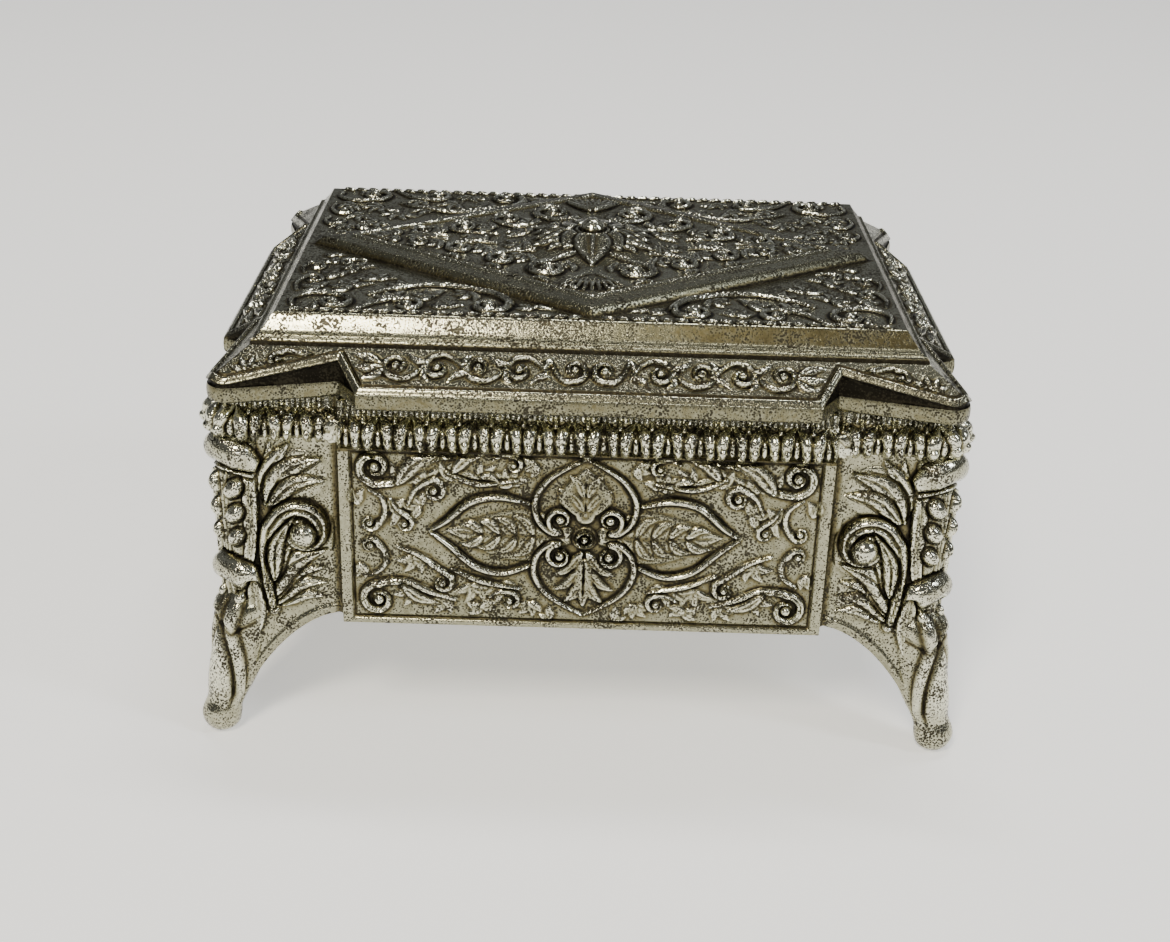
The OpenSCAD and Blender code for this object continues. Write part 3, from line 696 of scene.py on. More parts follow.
# %% Ornament of the corner posts
def post_ornament():
    """The unrolled post: x is the distance round it from its outer edge, y the height."""
    s = Sheet(0, 19.5, -1, 58.5)
    # a swelling under the leaves, so that they stand on a cushion and not on a plain wall
    for y, r in ((50.5, 5.0), (39.5, 6.2), (30.5, 5.0)):
        bead(s, 12.4, y, r, 0.55, 1.1, 0, 0.0)
    # the pod on the edge: a strap on the very edge, a strap beside it and three drops between
    bead(s, 2.0, 44.0, 3.4, 1.0, 3.2, 90, 0.2)
    stroke(s, [(0, 52), (0, 44), (0, 34.5)], [1.0, 0.95, 0.8], [1.3, 1.35, 1.1], smooth_leaf, 0.3)
    stroke(s, [(5.0, 56), (4.9, 50), (4.8, 44), (4.6, 38), (3.9, 33.5)], [1.2, 1.35, 1.3, 1.2, 0.9],
           [1.6, 1.9, 1.85, 1.6, 1.3], smooth_leaf, 0.6)
    for y, size in ((47.9, 1.0), (43.2, 0.97), (38.7, 0.9)):
        bead(s, 2.3, y, 1.5 * size, 2.5 * size, 1.5, 62, 0.5)
    # the two buds: rolled-over leaves with a lip under each
    for y, reach in ((54.6, 5.3), (31.6, 5.1)):
        stroke(s, [(0, y - 3.0), (2.6, y - 3.1), (reach, y - 4.2)], [0.95, 0.9, 0.5],
               [1.5, 1.4, 0.8])
        stroke(s, [(0, y + 0.4), (3.0, y - 0.2), (reach + 0.7, y - 2.2)], [2.9, 2.8, 1.3],
               [2.7, 2.7, 1.6])
    # the hanging leaves under the lower bud
    leaf(s, (4.6, 30), (4.4, 17.6), 1.7, 1.5, 0.03, smooth_leaf)
    leaf(s, (0, 29.6), (0, 17.4), 2.1, 1.5, 0, smooth_leaf)
    bead(s, 2.3, 26.6, 1.0, 2.1, 1.4, 80, 0.4)
    # the great leaf in the top of the field: its lobes spread from one foot and overlap
    leaf(s, (6.9, 48.6), (8.4, 57.4), 1.3, 1.1, -0.06)
    leaf(s, (7.2, 46.4), (12.0, 57.0), 1.9, 1.3, 0.10)
    leaf(s, (7.6, 45.8), (14.6, 54.4), 1.9, 1.45, 0.13)
    leaf(s, (7.6, 45.4), (17.2, 54.0), 2.2, 1.3, 0.17)
    leaf(s, (8.2, 45.3), (18.0, 49.8), 1.6, 1.2, 0.16)
    # leaves below the scroll, from one foot
    leaf(s, (9.4, 25.6), (17.4, 27.2), 1.2, 1.0, 0.12)
    leaf(s, (7.8, 25.8), (17.8, 30.2), 1.6, 1.25, 0.15)
    leaf(s, (7.4, 26.4), (17.2, 33.2), 1.6, 1.4, 0.17)
    leaf(s, (7.2, 27.2), (17.6, 36.6), 2.3, 1.5, 0.15)
    leaf(s, (7.4, 30.2), (11.6, 37.6), 1.6, 1.4, 0.06)
    bead(s, 7.9, 24.4, 1.0, 1.3)
    # the great scroll, the ball in its eye and the split leaf along its stem
    curl(s, [(7.6, 25.6), (7.0, 30.5), (7.0, 35.5), (7.6, 40.2)], (13.2, 40.2), 5.0, 165, -420,
         1.55, 1.9, 0.25, grooved)
    leaf(s, (8.3, 31.0), (12.3, 43.2), 1.5, 1.5, 0.12)
    bead(s, 13.5, 39.4, 2.5, 2.5, 1, 0, 0.5)
    return s


# %% [markdown]
# ## The frieze
# Under the lid the walls' tops roll out and back in, and a small leaf pattern repeats along them.
# Only one repeat is drawn; the walls and posts fold their length into it, so the pattern runs on
# without a seam at any length.

# %% Frieze
def frieze_ornament():
    """One repeat of the frieze: a pointed leaf, a broad lobe and a small ball on either side of it,
    half a leaf at each end, and fine flutes along the top; y runs up the frieze's section."""
    s = Sheet(-4.2, 4.2, -0.6, 9.5)
    for k in np.arange(-3, 3.5) * FRIEZE_PITCH / 6:
        stroke(s, [(k, 5.9), (k, 8.6)], [0.34], [0.40, 0.40, 0.25], round_top, 0.5)
    leaf(s, (0, 1.6), (0, 6.4), 0.7, 1.3, 0, round_top, 0.3)
    for side in (-1, 1):
        leaf(s, (side * 2.66, 0.4), (side * 2.66, 4.2), 0.55, 0.7, 0, round_top, 0.3)
        stroke(s, [(side * 0.95, 0.7), (side * 0.95, 2.7), (side * 2.3, 5.6)], [0.95, 1.25, 0.25],
               [1.55, 1.6, 0.7], round_top, 0.35)
        bead(s, side * 1.0, 1.25, 0.82, 1.95, 1, 0, 0.15)
    return s


# %% [markdown]
# ## The flat top's ornament
# Scrolls and tufts of leaves fill the corners outside the diamond and curls fill it inside, with a
# flower of layered petals in the middle. The pattern is symmetrical both ways, so a quarter is
# drawn and folded over twice, and the flower is laid on last.

# %% Ornament of the flat top
def top_ornament():
    """A quarter of the top is drawn and mirrored twice: outside the diamond a great C-scroll, two
    lesser ones and tufts of leaves; inside it curls and tufts round a flower."""
    s = Sheet(-53, 53, -37, 37)
    # outside the diamond: tufts first, scrolls over them
    outer_tufts = [((-20.5, -25.0), (150, 190, 230, 280), 3.6),
                   ((-27.0, -27.0), (60, 110, 160, 210), 4.2),
                   ((-33.5, -28.5), (70, 115, 160, 300), 4.0),
                   ((-31.5, -22.5), (120, 160, 200), 4.6),
                   ((-41.5, -23.5), (30, 75, 120, 165, 215), 4.4),
                   ((-37.5, -19.5), (20, 65, 110, 160), 4.2),
                   ((-44.5, -18.0), (50, 95, 140, 185), 4.2),
                   ((-47.0, -24.0), (60, 110, 160, 220), 3.4),
                   ((-41.5, -13.5), (20, 70, 120, 170, 230), 3.6),
                   ((-47.0, -11.0), (10, 60, 110, 160), 3.2), ((-46.5, -7.0), (20, 80, 150), 2.2),
                   ((-9.5, -31.0), (150, 190, 20, 350), 3.4),
                   ((-24.5, -32.0), (20, 60, 120, 160), 3.2),
                   ((-46.0, -31.5), (250, 300, 340), 2.6)]
    for base, aims, size in outer_tufts:
        spray(s, base, aims, size, 0.85, 0.75, 0.12)
    curl(s, [(-38.0, -26.5), (-33.5, -23.6), (-27.5, -21.4), (-21.5, -22.8), (-16.2, -25.4),
             (-13.6, -29.6)], (-17.3, -31.0), 3.4, 20, -420, 0.75, 1.05, 0.34)
    curl(s, [(-39.5, -34.6), (-36.6, -31.0), (-33.6, -29.0)], (-31.0, -31.6), 3.0, 140, -400, 0.6,
         0.95, 0.32)
    curl(s, [(-50.2, -33.0), (-50.4, -29.6), (-47.0, -27.0), (-42.6, -28.0)], (-43.6, -31.2), 3.2,
         60, -400, 0.62, 1.0, 0.32)
    curl(s, [(-50.6, -25.5), (-51.0, -22.0), (-50.0, -19.2)], (-48.4, -20.2), 1.9, 110, -380, 0.42,
         0.85, 0.4)
    curl(s, [(-50.6, -16.6), (-51.2, -14.0), (-50.2, -11.6)], (-48.9, -13.4), 1.7, 110, -380, 0.4,
         0.85, 0.4)
    curl(s, [(-40.4, -9.4), (-43.0, -8.8)], (-43.4, -10.6), 1.6, 60, 380, 0.4, 0.8, 0.4)
    for x in np.arange(-50, -2.5, 2.45):
        stroke(s, [(x, -35.3), (x + 1.0, -35.0), (x + 1.7, -34.6)], [0.42, 0.5, 0.3],
               [0.65, 0.7, 0.5])
    # inside the diamond
    inner_tufts = [((-4.4, -12.8), (200, 240, 285), 4.4),
                   ((-11.4, -9.4), (160, 200, 240, 280), 4.2),
                   ((-12.0, -3.2), (150, 190, 225, 260), 4.6),
                   ((-18.6, -6.0), (130, 170, 210, 250), 4.0),
                   ((-19.4, -0.6), (150, 180, 210), 5.2),
                   ((-27.6, -3.0), (140, 180, 220, 260), 3.8),
                   ((-29.0, 0.0), (160, 180, 200), 5.4), ((-35.6, -1.2), (150, 190, 230), 3.6),
                   ((-37.2, 0.0), (165, 180, 195), 4.2), ((-16.8, -15.2), (150, 200, 250), 2.4),
                   ((-24.4, -10.4), (150, 200, 250), 2.4), ((-32.2, -5.8), (150, 200), 2.2),
                   ((-9.0, -21.0), (200, 250, 300), 2.4), ((-3.4, -24.4), (210, 260), 2.6)]
    for base, aims, size in inner_tufts:
        spray(s, base, aims, size, 0.95, 0.85, 0.12)
    curl(s, [(-3.2, -9.6), (-6.6, -11.4), (-10.2, -14.0)], (-7.6, -16.6), 3.5, 140, 430, 0.75, 1.15,
         0.34)
    curl(s, [(-10.4, -6.8), (-14.4, -7.4), (-18.2, -9.8)], (-16.0, -11.8), 2.6, 140, 430, 0.6, 1.05,
         0.36)
    curl(s, [(-17.6, -2.6), (-21.8, -2.4), (-26.0, -4.2)], (-23.8, -6.2), 2.5, 140, 430, 0.58, 1.0,
         0.36)
    curl(s, [(-26.4, -1.0), (-30.0, -0.8), (-33.0, -1.8)], (-31.4, -3.3), 1.8, 140, 430, 0.48, 0.9,
         0.38)
    for bearing in range(-130, -49, 10):
        ray(s, (0, -18.2), bearing, 1.0, 8.6, 0.72, 1.2, 0, round_top, 0.4)
    s.mirrored("xy")
    # the flower: four veined petals aslant, with a smooth one before and behind
    for middle in (26, 154, 206, 334):
        for turn, size in ((-17, 11.0), (17, 11.0), (0, 12.6)):
            ray(s, (0, 0), middle + turn, 1.5, size, 2.9, 1.35, 0, leaf_top, 0.4)
    for middle in (90, 270):
        for turn, size in ((-34, 9.5), (34, 9.5), (0, 13.6)):
            ray(s, (0, 0), middle + turn, 1.5, size, 3.7, 1.5, 0, smooth_leaf, 0.5)
    bead(s, 0, 0, 3.4, 1.2)
    bead(s, 0, 0, 2.4, 2.9)
    return s


# %% [markdown]
# ## The short panels
# The ends carry a shortened version of the long panels' pattern. It is drawn afresh and not
# squeezed from the long one, because squeezed curls would look like ovals.

# %% Ornament of the short panels
def short_panel_ornament():
    """The left half is drawn and mirrored: the long panel's rosette and hearts again, with shorter
    side petals and leafy stems for the narrower field. The origin is the rosette."""
    s = Sheet(-28, 28, -18, 17)
    curl(s, [(-14.2, 14.2), (-15.4, 11.0), (-18.4, 9.0), (-22.0, 8.6)], (-21.6, 12.1), 3.3, 235,
         -440, 0.62, 0.75, 0.3)
    curl(s, [(-12.6, -14.4), (-14.8, -12.0), (-17.6, -9.6), (-21, -8.8)], (-21.4, -12.3), 3.3, 100,
         450, 0.62, 0.75, 0.3)
    frond(s, [(-22.5, 8.4), (-18, 8.3), (-15.6, 10.2), (-14.0, 13.8)], 5, 2.9, 0.8, 0.6,
          sides=(-1,))
    frond(s, [(-19, -9.0), (-15.6, -10.8), (-12.6, -13.0), (-9.5, -15.2)], 5, 3.0, 0.8, 0.6,
          sides=(1,))
    curl(s, [(-24.6, 7.6), (-22.0, 6.4), (-21.0, 3.6)], (-23.4, 2.2), 2.2, 20, -420, 0.45, 0.6,
         0.42)
    curl(s, [(-24.6, -7.8), (-22.0, -6.6), (-21.0, -3.8)], (-23.4, -2.5), 2.2, -20, 420, 0.45, 0.6,
         0.42)
    frond(s, [(-9, 11.5), (-12.4, 13.2), (-13.2, 14.4)], 3, 2.6, 0.8, 0.6)
    frond(s, [(-9, -11.5), (-11.4, -12.6), (-12.2, -14.6)], 3, 2.2, 0.7, 0.6)
    for k in range(3):
        x = -10.2 - 2.3 * k
        leaf(s, (x + 2.2, 0.9), (x - 1.2, 3.7 - 0.6 * k), 0.7, 0.6, -0.18)
        leaf(s, (x + 2.2, -0.9), (x - 1.2, -3.7 + 0.6 * k), 0.7, 0.6, 0.18)
    stroke(s, [(-2.5, 0), (-10, 0.2), (-18.6, 0)], [0.42, 0.3, 0.12], [0.7, 0.55, 0.4])
    stroke(s, [(-19.4, -0.3), (-16.4, 2.9), (-12.6, 4.9), (-8.2, 4.4)], [0.2, 0.5, 0.6, 0.3],
           [0.7, 1.0, 0.8])
    stroke(s, [(-19.2, 0.3), (-16.2, -3.0), (-12.4, -4.9), (-8, -4.4)], [0.2, 0.5, 0.6, 0.3],
           [0.7, 1.0, 0.8])
    leaf(s, (0, 4.6), (0, 13.9), 4.9, 0.62, 0, smooth_leaf)
    curl(s, [(0.1, 15.0), (-3.0, 13.3), (-6.7, 10.8), (-8.6, 7.2), (-8.0, 3.4), (-5.9, 1.2)],
         (-4.1, 3.6), 2.6, -100, 450, 0.66, 1.15, 0.34, round_top)
    for x, y in ((-5.6, -10.2), (-3.6, -12.4), (-5.8, -7.2)):
        leaf(s, (-0.6, y + 4.2), (x, y), 0.95, 0.6, 0.12)
    leaf(s, (0, -4.8), (0, -13.9), 1.9, 0.85)
    curl(s, [(0.1, -15.4), (-3.3, -13.7), (-6.7, -11.0), (-8.4, -6.9), (-7.6, -3.2), (-5.4, -1.1)],
         (-3.8, -3.5), 2.5, 100, -450, 0.64, 1.15, 0.34, round_top)
    s.mirrored("x")
    bead(s, 0, 0, 2.1, 0.75)
    stroke(s, np.vstack([spiral((0, 0), 1.25, 0, 360, 1.0)]), [0.3], [1.35])
    bead(s, 0, 0, 0.7, 1.5)
    return s


# %% [markdown]
# ## From grids to closed meshes
# Every casting here is one grid of points bent into a closed skin: a section that runs round the
# wall, out over its face and back down inside, carried along the wall's plan. Heights from the
# ornament push the grid out along its own normals before it becomes a mesh, so what you see is
# geometry that also prints or bakes. One number per vertex goes with it for the finish: how far it
# stands above or lies below its neighbours, with painted highlights and painted shade added to it in
# a few places.

# %% Normals and skins
def normals_of(grid, round_u=False, round_v=False):
    """The cross product of the grid's two directions, by central differences."""
    def slope(axis, wraps):
        if wraps:
            return np.roll(grid, -1, axis) - np.roll(grid, 1, axis)
        return np.gradient(grid, axis=axis)
    n = np.cross(slope(0, round_u), slope(1, round_v))
    return n / (np.linalg.norm(n, axis=-1, keepdims=True) + 1e-12)


def skin(name, grid, body, stands_for, finish, slot, tarnish_and_painted_light=None, round_u=False, round_v=True,
         flip=False, crease=52):
    """A mesh from a grid of points in millimetres. A round direction closes on itself; where only
    the second is round, one face caps each end. A value per point for the finish may be given: the
    relief's depth, with painted highlights and painted shade added in places."""
    nu, nv = grid.shape[:2]
    ids = np.arange(nu * nv).reshape(nu, nv)
    if round_u:
        ids = np.vstack([ids, ids[:1]])
    if round_v:
        ids = np.column_stack([ids, ids[:, 0]])
    quads = np.stack([ids[:-1, :-1], ids[1:, :-1], ids[1:, 1:], ids[:-1, 1:]], -1).reshape(-1, 4)
    rings = [] if round_u else [ids[0, :-1], ids[-1, -2::-1]]
    if flip:
        quads = quads[:, ::-1]
        rings = [r[::-1] for r in rings]
    loops = np.concatenate([quads.ravel()] + rings).astype(np.int32)
    totals = np.r_[np.full(len(quads), 4), [len(r) for r in rings]].astype(np.int32)
    return solid(name, grid.reshape(-1, 3), loops, totals, body, stands_for, finish, slot,
                 tarnish_and_painted_light, crease)


# %% A mesh as a piece
def solid(name, points, loops, totals, body, stands_for, finish, slot, tarnish_and_painted_light, crease=52):
    """Put points in millimetres, corner indices and corner counts into a mesh, give it its finish
    and let the piece ride on a body in place of its solids."""
    mesh = bpy.data.meshes.new(name)
    mesh.vertices.add(len(points))
    mesh.vertices.foreach_set("co", (points * MM).astype(np.float32).ravel())
    mesh.loops.add(len(loops))
    mesh.loops.foreach_set("vertex_index", loops)
    mesh.polygons.add(len(totals))
    mesh.polygons.foreach_set("loop_start", np.r_[0, np.cumsum(totals)[:-1]].astype(np.int32))
    mesh.polygons.foreach_set("use_smooth", np.ones(len(totals), bool))
    mesh.update(calc_edges=True)
    mesh.validate()
    values = np.zeros(len(points)) if tarnish_and_painted_light is None else tarnish_and_painted_light.ravel()
    # the hollow attribute: depth in the relief for the tarnish, plus painted light where it was added
    hollow = mesh.attributes.new("hollow", "FLOAT", "POINT")
    hollow.data.foreach_set("value", values.astype(np.float32))
    mesh.set_sharp_from_angle(angle=np.radians(crease))
    mesh.materials.append(finish)
    piece = bpy.data.objects.new(name, mesh)
    bpy.context.scene.collection.objects.link(piece)
    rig.ride(piece, body)
    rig.replaces(piece, *stands_for)
    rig.slot(piece, slot)
    print(name, len(points), "points,", int((totals - 2).sum()), "triangles")
    return piece


# %% Even steps
def steps(values, pitch):
    """Points along a broken line, each stretch cut into even steps no longer than the pitch."""
    values = np.asarray(values, float)
    parts = []
    for a, b in zip(values[:-1], values[1:]):
        n = max(1, int(np.ceil(np.linalg.norm(b - a) / pitch)))
        parts.append(a + (b - a) * np.linspace(0, 1, n, endpoint=False)[:, None])
    return np.concatenate(parts + [values[-1:]])


# %% [markdown]
# ## The box's own sizes
# The walls' and lid's planes come from the solids, so the castings drawn here sit exactly where
# the solids are.

# %% Planes read from the solids
def box_mm(node):
    """A solid's lowest and highest corners, in millimetres."""
    return np.array(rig.box(node)) / MM


lid_low, lid_high = box_mm("lid_shell")
panel_low, panel_high = box_mm("back_panel")
side_high = box_mm("right_panel")[1]
BAY_X, BAY_Y = lid_high[0], lid_high[1]
PANEL_X, PANEL_Y = panel_high[0], side_high[1]      # half lengths of the walls
PANEL_Z = panel_low[2]
BORDER_PROUD, FLARE, FALL = 0.4, 1.2, 1.8           # panel border, frieze out and frieze in
FACE_Y, FACE_X = panel_high[1] - FLARE, side_high[0] - FLARE
WALL_TOP = panel_high[2]
FRIEZE_H = 6.9
FRIEZE_Z = WALL_TOP - FRIEZE_H
LID_Z = lid_low[2]
RIM_H, BAND_RISE, BEAD_RISE, BEVEL_RISE = 2.8, 5.2, 1.4, 3.2    # heights up the lid's section
BAND_RUN, BEAD_RUN, BEVEL_RUN = 7.7, 1.4, 2.4                   # and how far each goes in
EDGE_Z = LID_Z + RIM_H
BEAD_Z = EDGE_Z + BAND_RISE
BEVEL_Z = BEAD_Z + BEAD_RISE
TOP_Z = BEVEL_Z + BEVEL_RISE
TOP_X, TOP_Y = (b - BAND_RUN - BEAD_RUN - BEVEL_RUN for b in (BAY_X, BAY_Y))
BAND_LENGTH = np.hypot(BAND_RUN, BAND_RISE)
DIAMOND_H, BAR, DOME_H, DOME_R = 1.9, 4.6, 2.24, 14.0    # diamond, its bars and the flower's dome
HOLLOW = (BAY_X - 12, BAY_Y - 12)        # half sizes of the space inside the lid
HINGE_X, HINGE_HALF = 24.0, 8.3          # the two hinges' middles, and half a cut-out's length
BARREL_TOP, SEAT = LID_Z + 1.7, 0.5      # top of the cut-out for a barrel, depth of a leaf's seat
print("lid", LID_Z.round(2), EDGE_Z.round(2), BEAD_Z.round(2), TOP_Z.round(2),
      "panels", FACE_X, FACE_Y)


# %% [markdown]
# ## The lid's flat top
# A raised diamond stands on the flat top like a low roof with its ridge cut off, and a flower
# domes up in its middle. The form is a sum of simple height functions of x and y: the roof from
# the distance inside the diamond's edge, the dome from the distance to the centre, the ornament
# on top.

# %% Lid top
def ridge(distance, width, height):
    """A rounded bead: a Gaussian of the distance from its line."""
    return height * np.exp(-((distance / width) ** 2))


TOP_COUNT = (452, 212)   # points along and across the flat top, about 0.23 mm apart


def lid_top():
    """Height over the top's plan: roof by the distance inside the diamond, beads along its bars,
    dome by the distance from the middle, and the ornament wherever the bars leave it clear. The
    edges turn down and one face closes the underside."""
    ornament = top_ornament()
    hollow = hollows(ornament.h, 0.45)
    x = np.linspace(-TOP_X, TOP_X, TOP_COUNT[0])
    y = np.linspace(-TOP_Y, TOP_Y, TOP_COUNT[1])
    gx, gy = np.meshgrid(x, y, indexing="ij")
    a, b = TOP_X - 1, TOP_Y - 1
    inside = (1 - np.abs(gx) / a - np.abs(gy) / b) * a * b / np.hypot(a, b)
    roof = DIAMOND_H * (0.72 * np.clip(inside / 0.9, 0, 1) ** 0.8
                        + 0.28 * np.clip(inside / BAR, 0, 1))
    trim = ridge(inside - BAR + 0.2, 0.30, 0.45) - ridge(inside - BAR - 0.5, 0.3, 0.35)
    far = np.hypot(gx, gy)
    dome = DOME_H * np.clip(1 - (far / DOME_R) ** 2, 0, 1) ** 1.3
    clear = np.clip((-0.2 - inside) / 0.3, 0, 1) + np.clip((inside - BAR - 0.5) / 0.4, 0, 1)
    edge = np.clip(np.minimum(TOP_X - np.abs(gx), TOP_Y - np.abs(gy)) / 0.5, 0, 1)
    raised = ornament.sample(gx, gy) * clear * edge * 0.85
    z = TOP_Z + roof + trim + dome + raised
    grid = np.stack([gx, gy, z], -1)
    grid = np.pad(grid, ((1, 1), (1, 1), (0, 0)), mode="edge")
    grid[[0, -1], :, 2] = grid[:, [0, -1], 2] = TOP_Z - 1.8
    tarnish_and_painted_light = ornament.sample(gx, gy, hollow) * clear * 1.6
    # painted light on the diamond: a painted highlight along each bar's inner bead, and painted
    # shadow lines at either foot of a bar
    tarnish_and_painted_light += (0.16 * (trim > 0.12) - ridge(inside + 0.1, 0.4, 0.18)
              - ridge(inside - BAR - 0.5, 0.35, 0.2))
    ids = np.arange(grid.shape[0] * grid.shape[1]).reshape(grid.shape[:2])
    quads = np.stack([ids[:-1, :-1], ids[1:, :-1], ids[1:, 1:], ids[:-1, 1:]], -1).reshape(-1, 4)
    under = np.r_[ids[0, :-1], ids[:-1, -1], ids[-1, :0:-1], ids[:0:-1, 0]]
    loops = np.r_[quads.ravel(), under].astype(np.int32)
    totals = np.r_[np.full(len(quads), 4), len(under)].astype(np.int32)
    return solid("lid_top", grid.reshape(-1, 3), loops, totals, "lid", ["lid_shell"], CAST_SILVER,
                 "cast_silver_plate", np.pad(tarnish_and_painted_light, 1))


lid_top()


# %% [markdown]
# ## The lid's border
# Bevel, step, sloping scroll band, edge moulding and upright rim are one section. It is carried
# round the lid's outline, with its bays, notches and ears, while its inner edge follows a plain
# rectangle. Each point of the band lies on one of four planes that slope down from the rectangle,
# which is what gives the notches their deep walls.

# %% Outline of the lid
def lid_outline():
    """One quarter's corner points, from the middle of the front bay to the middle of the side bay:
    bay corner, notch, ear as an arc, notch and bay corner. x and y are positive here."""
    front = [(0, BAY_Y), (38, BAY_Y), (41.5, BAY_Y - 5.5)]
    side = [(BAY_X - 5.5, 27.5), (BAY_X, 24), (BAY_X, 0)]
    centre, r = np.array([BAY_X - 4.5, BAY_Y - 4.5]), 3.5

    def touch(point, sign, turn):
        """The bearing at which a line from the point touches the ear's circle."""
        d = np.array(point) - centre
        return np.arctan2(d[1], d[0]) + turn + sign * np.arccos(r / np.linalg.norm(d))

    a0, a1 = touch(front[-1], -1, 2 * np.pi), touch(side[0], 1, 0)
    arc = [centre + r * np.array([np.cos(t), np.sin(t)]) for t in np.linspace(a0, a1, 15)]
    return np.array(front + [tuple(p) for p in arc] + side)


def offset_inward(points, by):
    """Move each corner of a closed outline inward along the bisector of its two edges."""
    ahead = np.roll(points, -1, 0) - points
    ahead /= np.linalg.norm(ahead, axis=1, keepdims=True) + 1e-12
    behind = np.roll(ahead, 1, 0)
    n1 = np.stack([ahead[:, 1], -ahead[:, 0]], 1)
    n0 = np.stack([behind[:, 1], -behind[:, 0]], 1)
    m = n0 + n1
    m /= np.maximum((m * m).sum(1, keepdims=True), 0.35) / 2
    return points + m * by


# %% The outline in even steps
OUTLINE_STEP, SHELF = 0.352, 1.75        # mm between points round the lid; width of its edge bead


def even_outline():
    """The whole outline, clockwise from the back's middle, and the line the edge bead starts from,
    one shelf width further in: corners kept, straight stretches cut to even steps."""
    q = lid_outline()
    quarters = [q, (q * [1, -1])[::-1], q * [-1, -1], (q * [-1, 1])[::-1]]
    outline = np.concatenate([part[:-1] for part in quarters])
    shelf = offset_inward(outline, SHELF)
    fine_out, fine_in = [], []
    for k in range(len(outline)):
        after = (k + 1) % len(outline)
        n = max(1, int(np.ceil(np.linalg.norm(outline[after] - outline[k]) / OUTLINE_STEP)))
        t = np.linspace(0, 1, n, endpoint=False)[:, None]
        fine_out.append(outline[k] + (outline[after] - outline[k]) * t)
        fine_in.append(shelf[k] + (shelf[after] - shelf[k]) * t)
    return np.concatenate(fine_out), np.concatenate(fine_in)


# %% Where each point of the outline belongs
# The section is built as rows, each a ring of points round the lid, from the flat top out and down
# the bevel, step, band, edge bead and rim, under the foot and up into the lid's hollow.
edge, inset = even_outline()
# which side a point belongs to: past the line through the ears or not
ratio = np.abs(edge[:, 1]) - BAY_Y + BAND_RUN - (np.abs(edge[:, 0]) - BAY_X + BAND_RUN)
front = ratio > 0
# positions along each rectangle follow the outline's own, squeezed into its length
tip_x = np.abs(edge[front, 0]).max()
tip_y = np.abs(edge[~front, 1]).max()


def rectangle(half_x, half_y, z):
    """A ring on a level rectangle, with a point for each point of the outline."""
    x = np.where(front, edge[:, 0] * half_x / tip_x, np.sign(edge[:, 0]) * half_x)
    y = np.where(front, np.sign(edge[:, 1]) * half_y, edge[:, 1] * half_y / tip_y)
    return np.stack([x, y, np.full(len(x), z)], 1)


def on_slope(p):
    """Height of the sloping planes over a plan point: the lower of the two that meet there."""
    zf = EDGE_Z + (BAY_Y - np.abs(p[:, 1])) * BAND_RISE / BAND_RUN
    zs = EDGE_Z + (BAY_X - np.abs(p[:, 0])) * BAND_RISE / BAND_RUN
    return np.minimum(np.minimum(zf, zs), BEAD_Z)


bead_at = (BAY_X - BAND_RUN, BAY_Y - BAND_RUN)
bevel = (bead_at[0] - BEAD_RUN, bead_at[1] - BEAD_RUN)
top = (TOP_X, TOP_Y)
print(len(edge), "points round the lid")


# %% Rows of the section, from the top to the band's foot
rows = []


def between(a, b, n, bow=0.0):
    """n rows from a to b, bowed up or down as a sine."""
    for t in np.linspace(0, 1, n, endpoint=False):
        rows.append(a + (b - a) * t + [0, 0, bow * np.sin(np.pi * t)])


r_top = rectangle(*top, TOP_Z)
r_lip = rectangle(top[0] + 0.25, top[1] + 0.25, TOP_Z - 0.12)
r_bevel = rectangle(bevel[0] - 0.25, bevel[1] - 0.25, BEVEL_Z + 0.55)
r_foot = rectangle(bevel[0] - 0.15, bevel[1] - 0.15, BEVEL_Z + 0.02)
r_step = rectangle(bevel[0] + 0.25, bevel[1] + 0.25, BEVEL_Z - 0.02)
r_bead_in = rectangle(bevel[0] + 0.5, bevel[1] + 0.5, BEVEL_Z - 0.38)
r_bead_out = rectangle(bead_at[0] - 0.1, bead_at[1] - 0.1, BEAD_Z + 0.35)
r_bead = rectangle(*bead_at, BEAD_Z)
between(r_top, r_lip, 2)
between(r_lip, r_bevel, 7, -0.12)
between(r_bevel, r_foot, 3, -0.1)
between(r_foot, r_step, 4, 0.12)
between(r_step, r_bead_in, 3, -0.25)
between(r_bead_in, r_bead_out, 7, 0.42)
between(r_bead_out, r_bead, 3, -0.2)
first_band = len(rows)
shelf_pts = np.column_stack([inset, on_slope(inset)])
band_rows = 38
between(r_bead, shelf_pts, band_rows)
after_band = len(rows)
edge_pts = np.column_stack([edge, on_slope(edge)])
groove = shelf_pts + (edge_pts - shelf_pts) * 0.18
groove[:, 2] -= 0.28
between(shelf_pts, groove, 3)
lip = edge_pts + (shelf_pts - edge_pts) * 0.12
between(groove, lip, 8, 0.62)
between(lip, edge_pts, 2)
normal = edge - inset
normal /= np.linalg.norm(normal, axis=1, keepdims=True)


# %% Rim and underside
# where the slope's edge stands higher than the rim, the wall between them is set back
tall = np.clip(edge_pts[:, 2] - EDGE_Z, 0, None)
rim_row = len(rows)
cut = front & (edge[:, 1] > 0) & (np.abs(np.abs(edge[:, 0]) - HINGE_X) < HINGE_HALF)
foot_z = np.where(cut, BARREL_TOP, LID_Z + 0.35)
for t in np.linspace(0, 1, 6):
    p = edge_pts.copy()
    p[:, 2] -= tall * t
    recess = np.minimum(0.45 * tall, 0.85) * np.sin(np.pi * (0.08 + 0.86 * t)) ** 0.5
    p[:, :2] -= normal * recess[:, None] * (t > 0)
    rows.append(p)
for t in np.linspace(0, 1, 8):
    p = edge_pts.copy()
    p[:, 2] = EDGE_Z - (EDGE_Z - foot_z) * t
    p[:, :2] -= normal * (0.42 * (1 - np.sin(np.pi * (0.12 + 0.76 * t)) ** 0.5) - 0.05)
    rows.append(p)
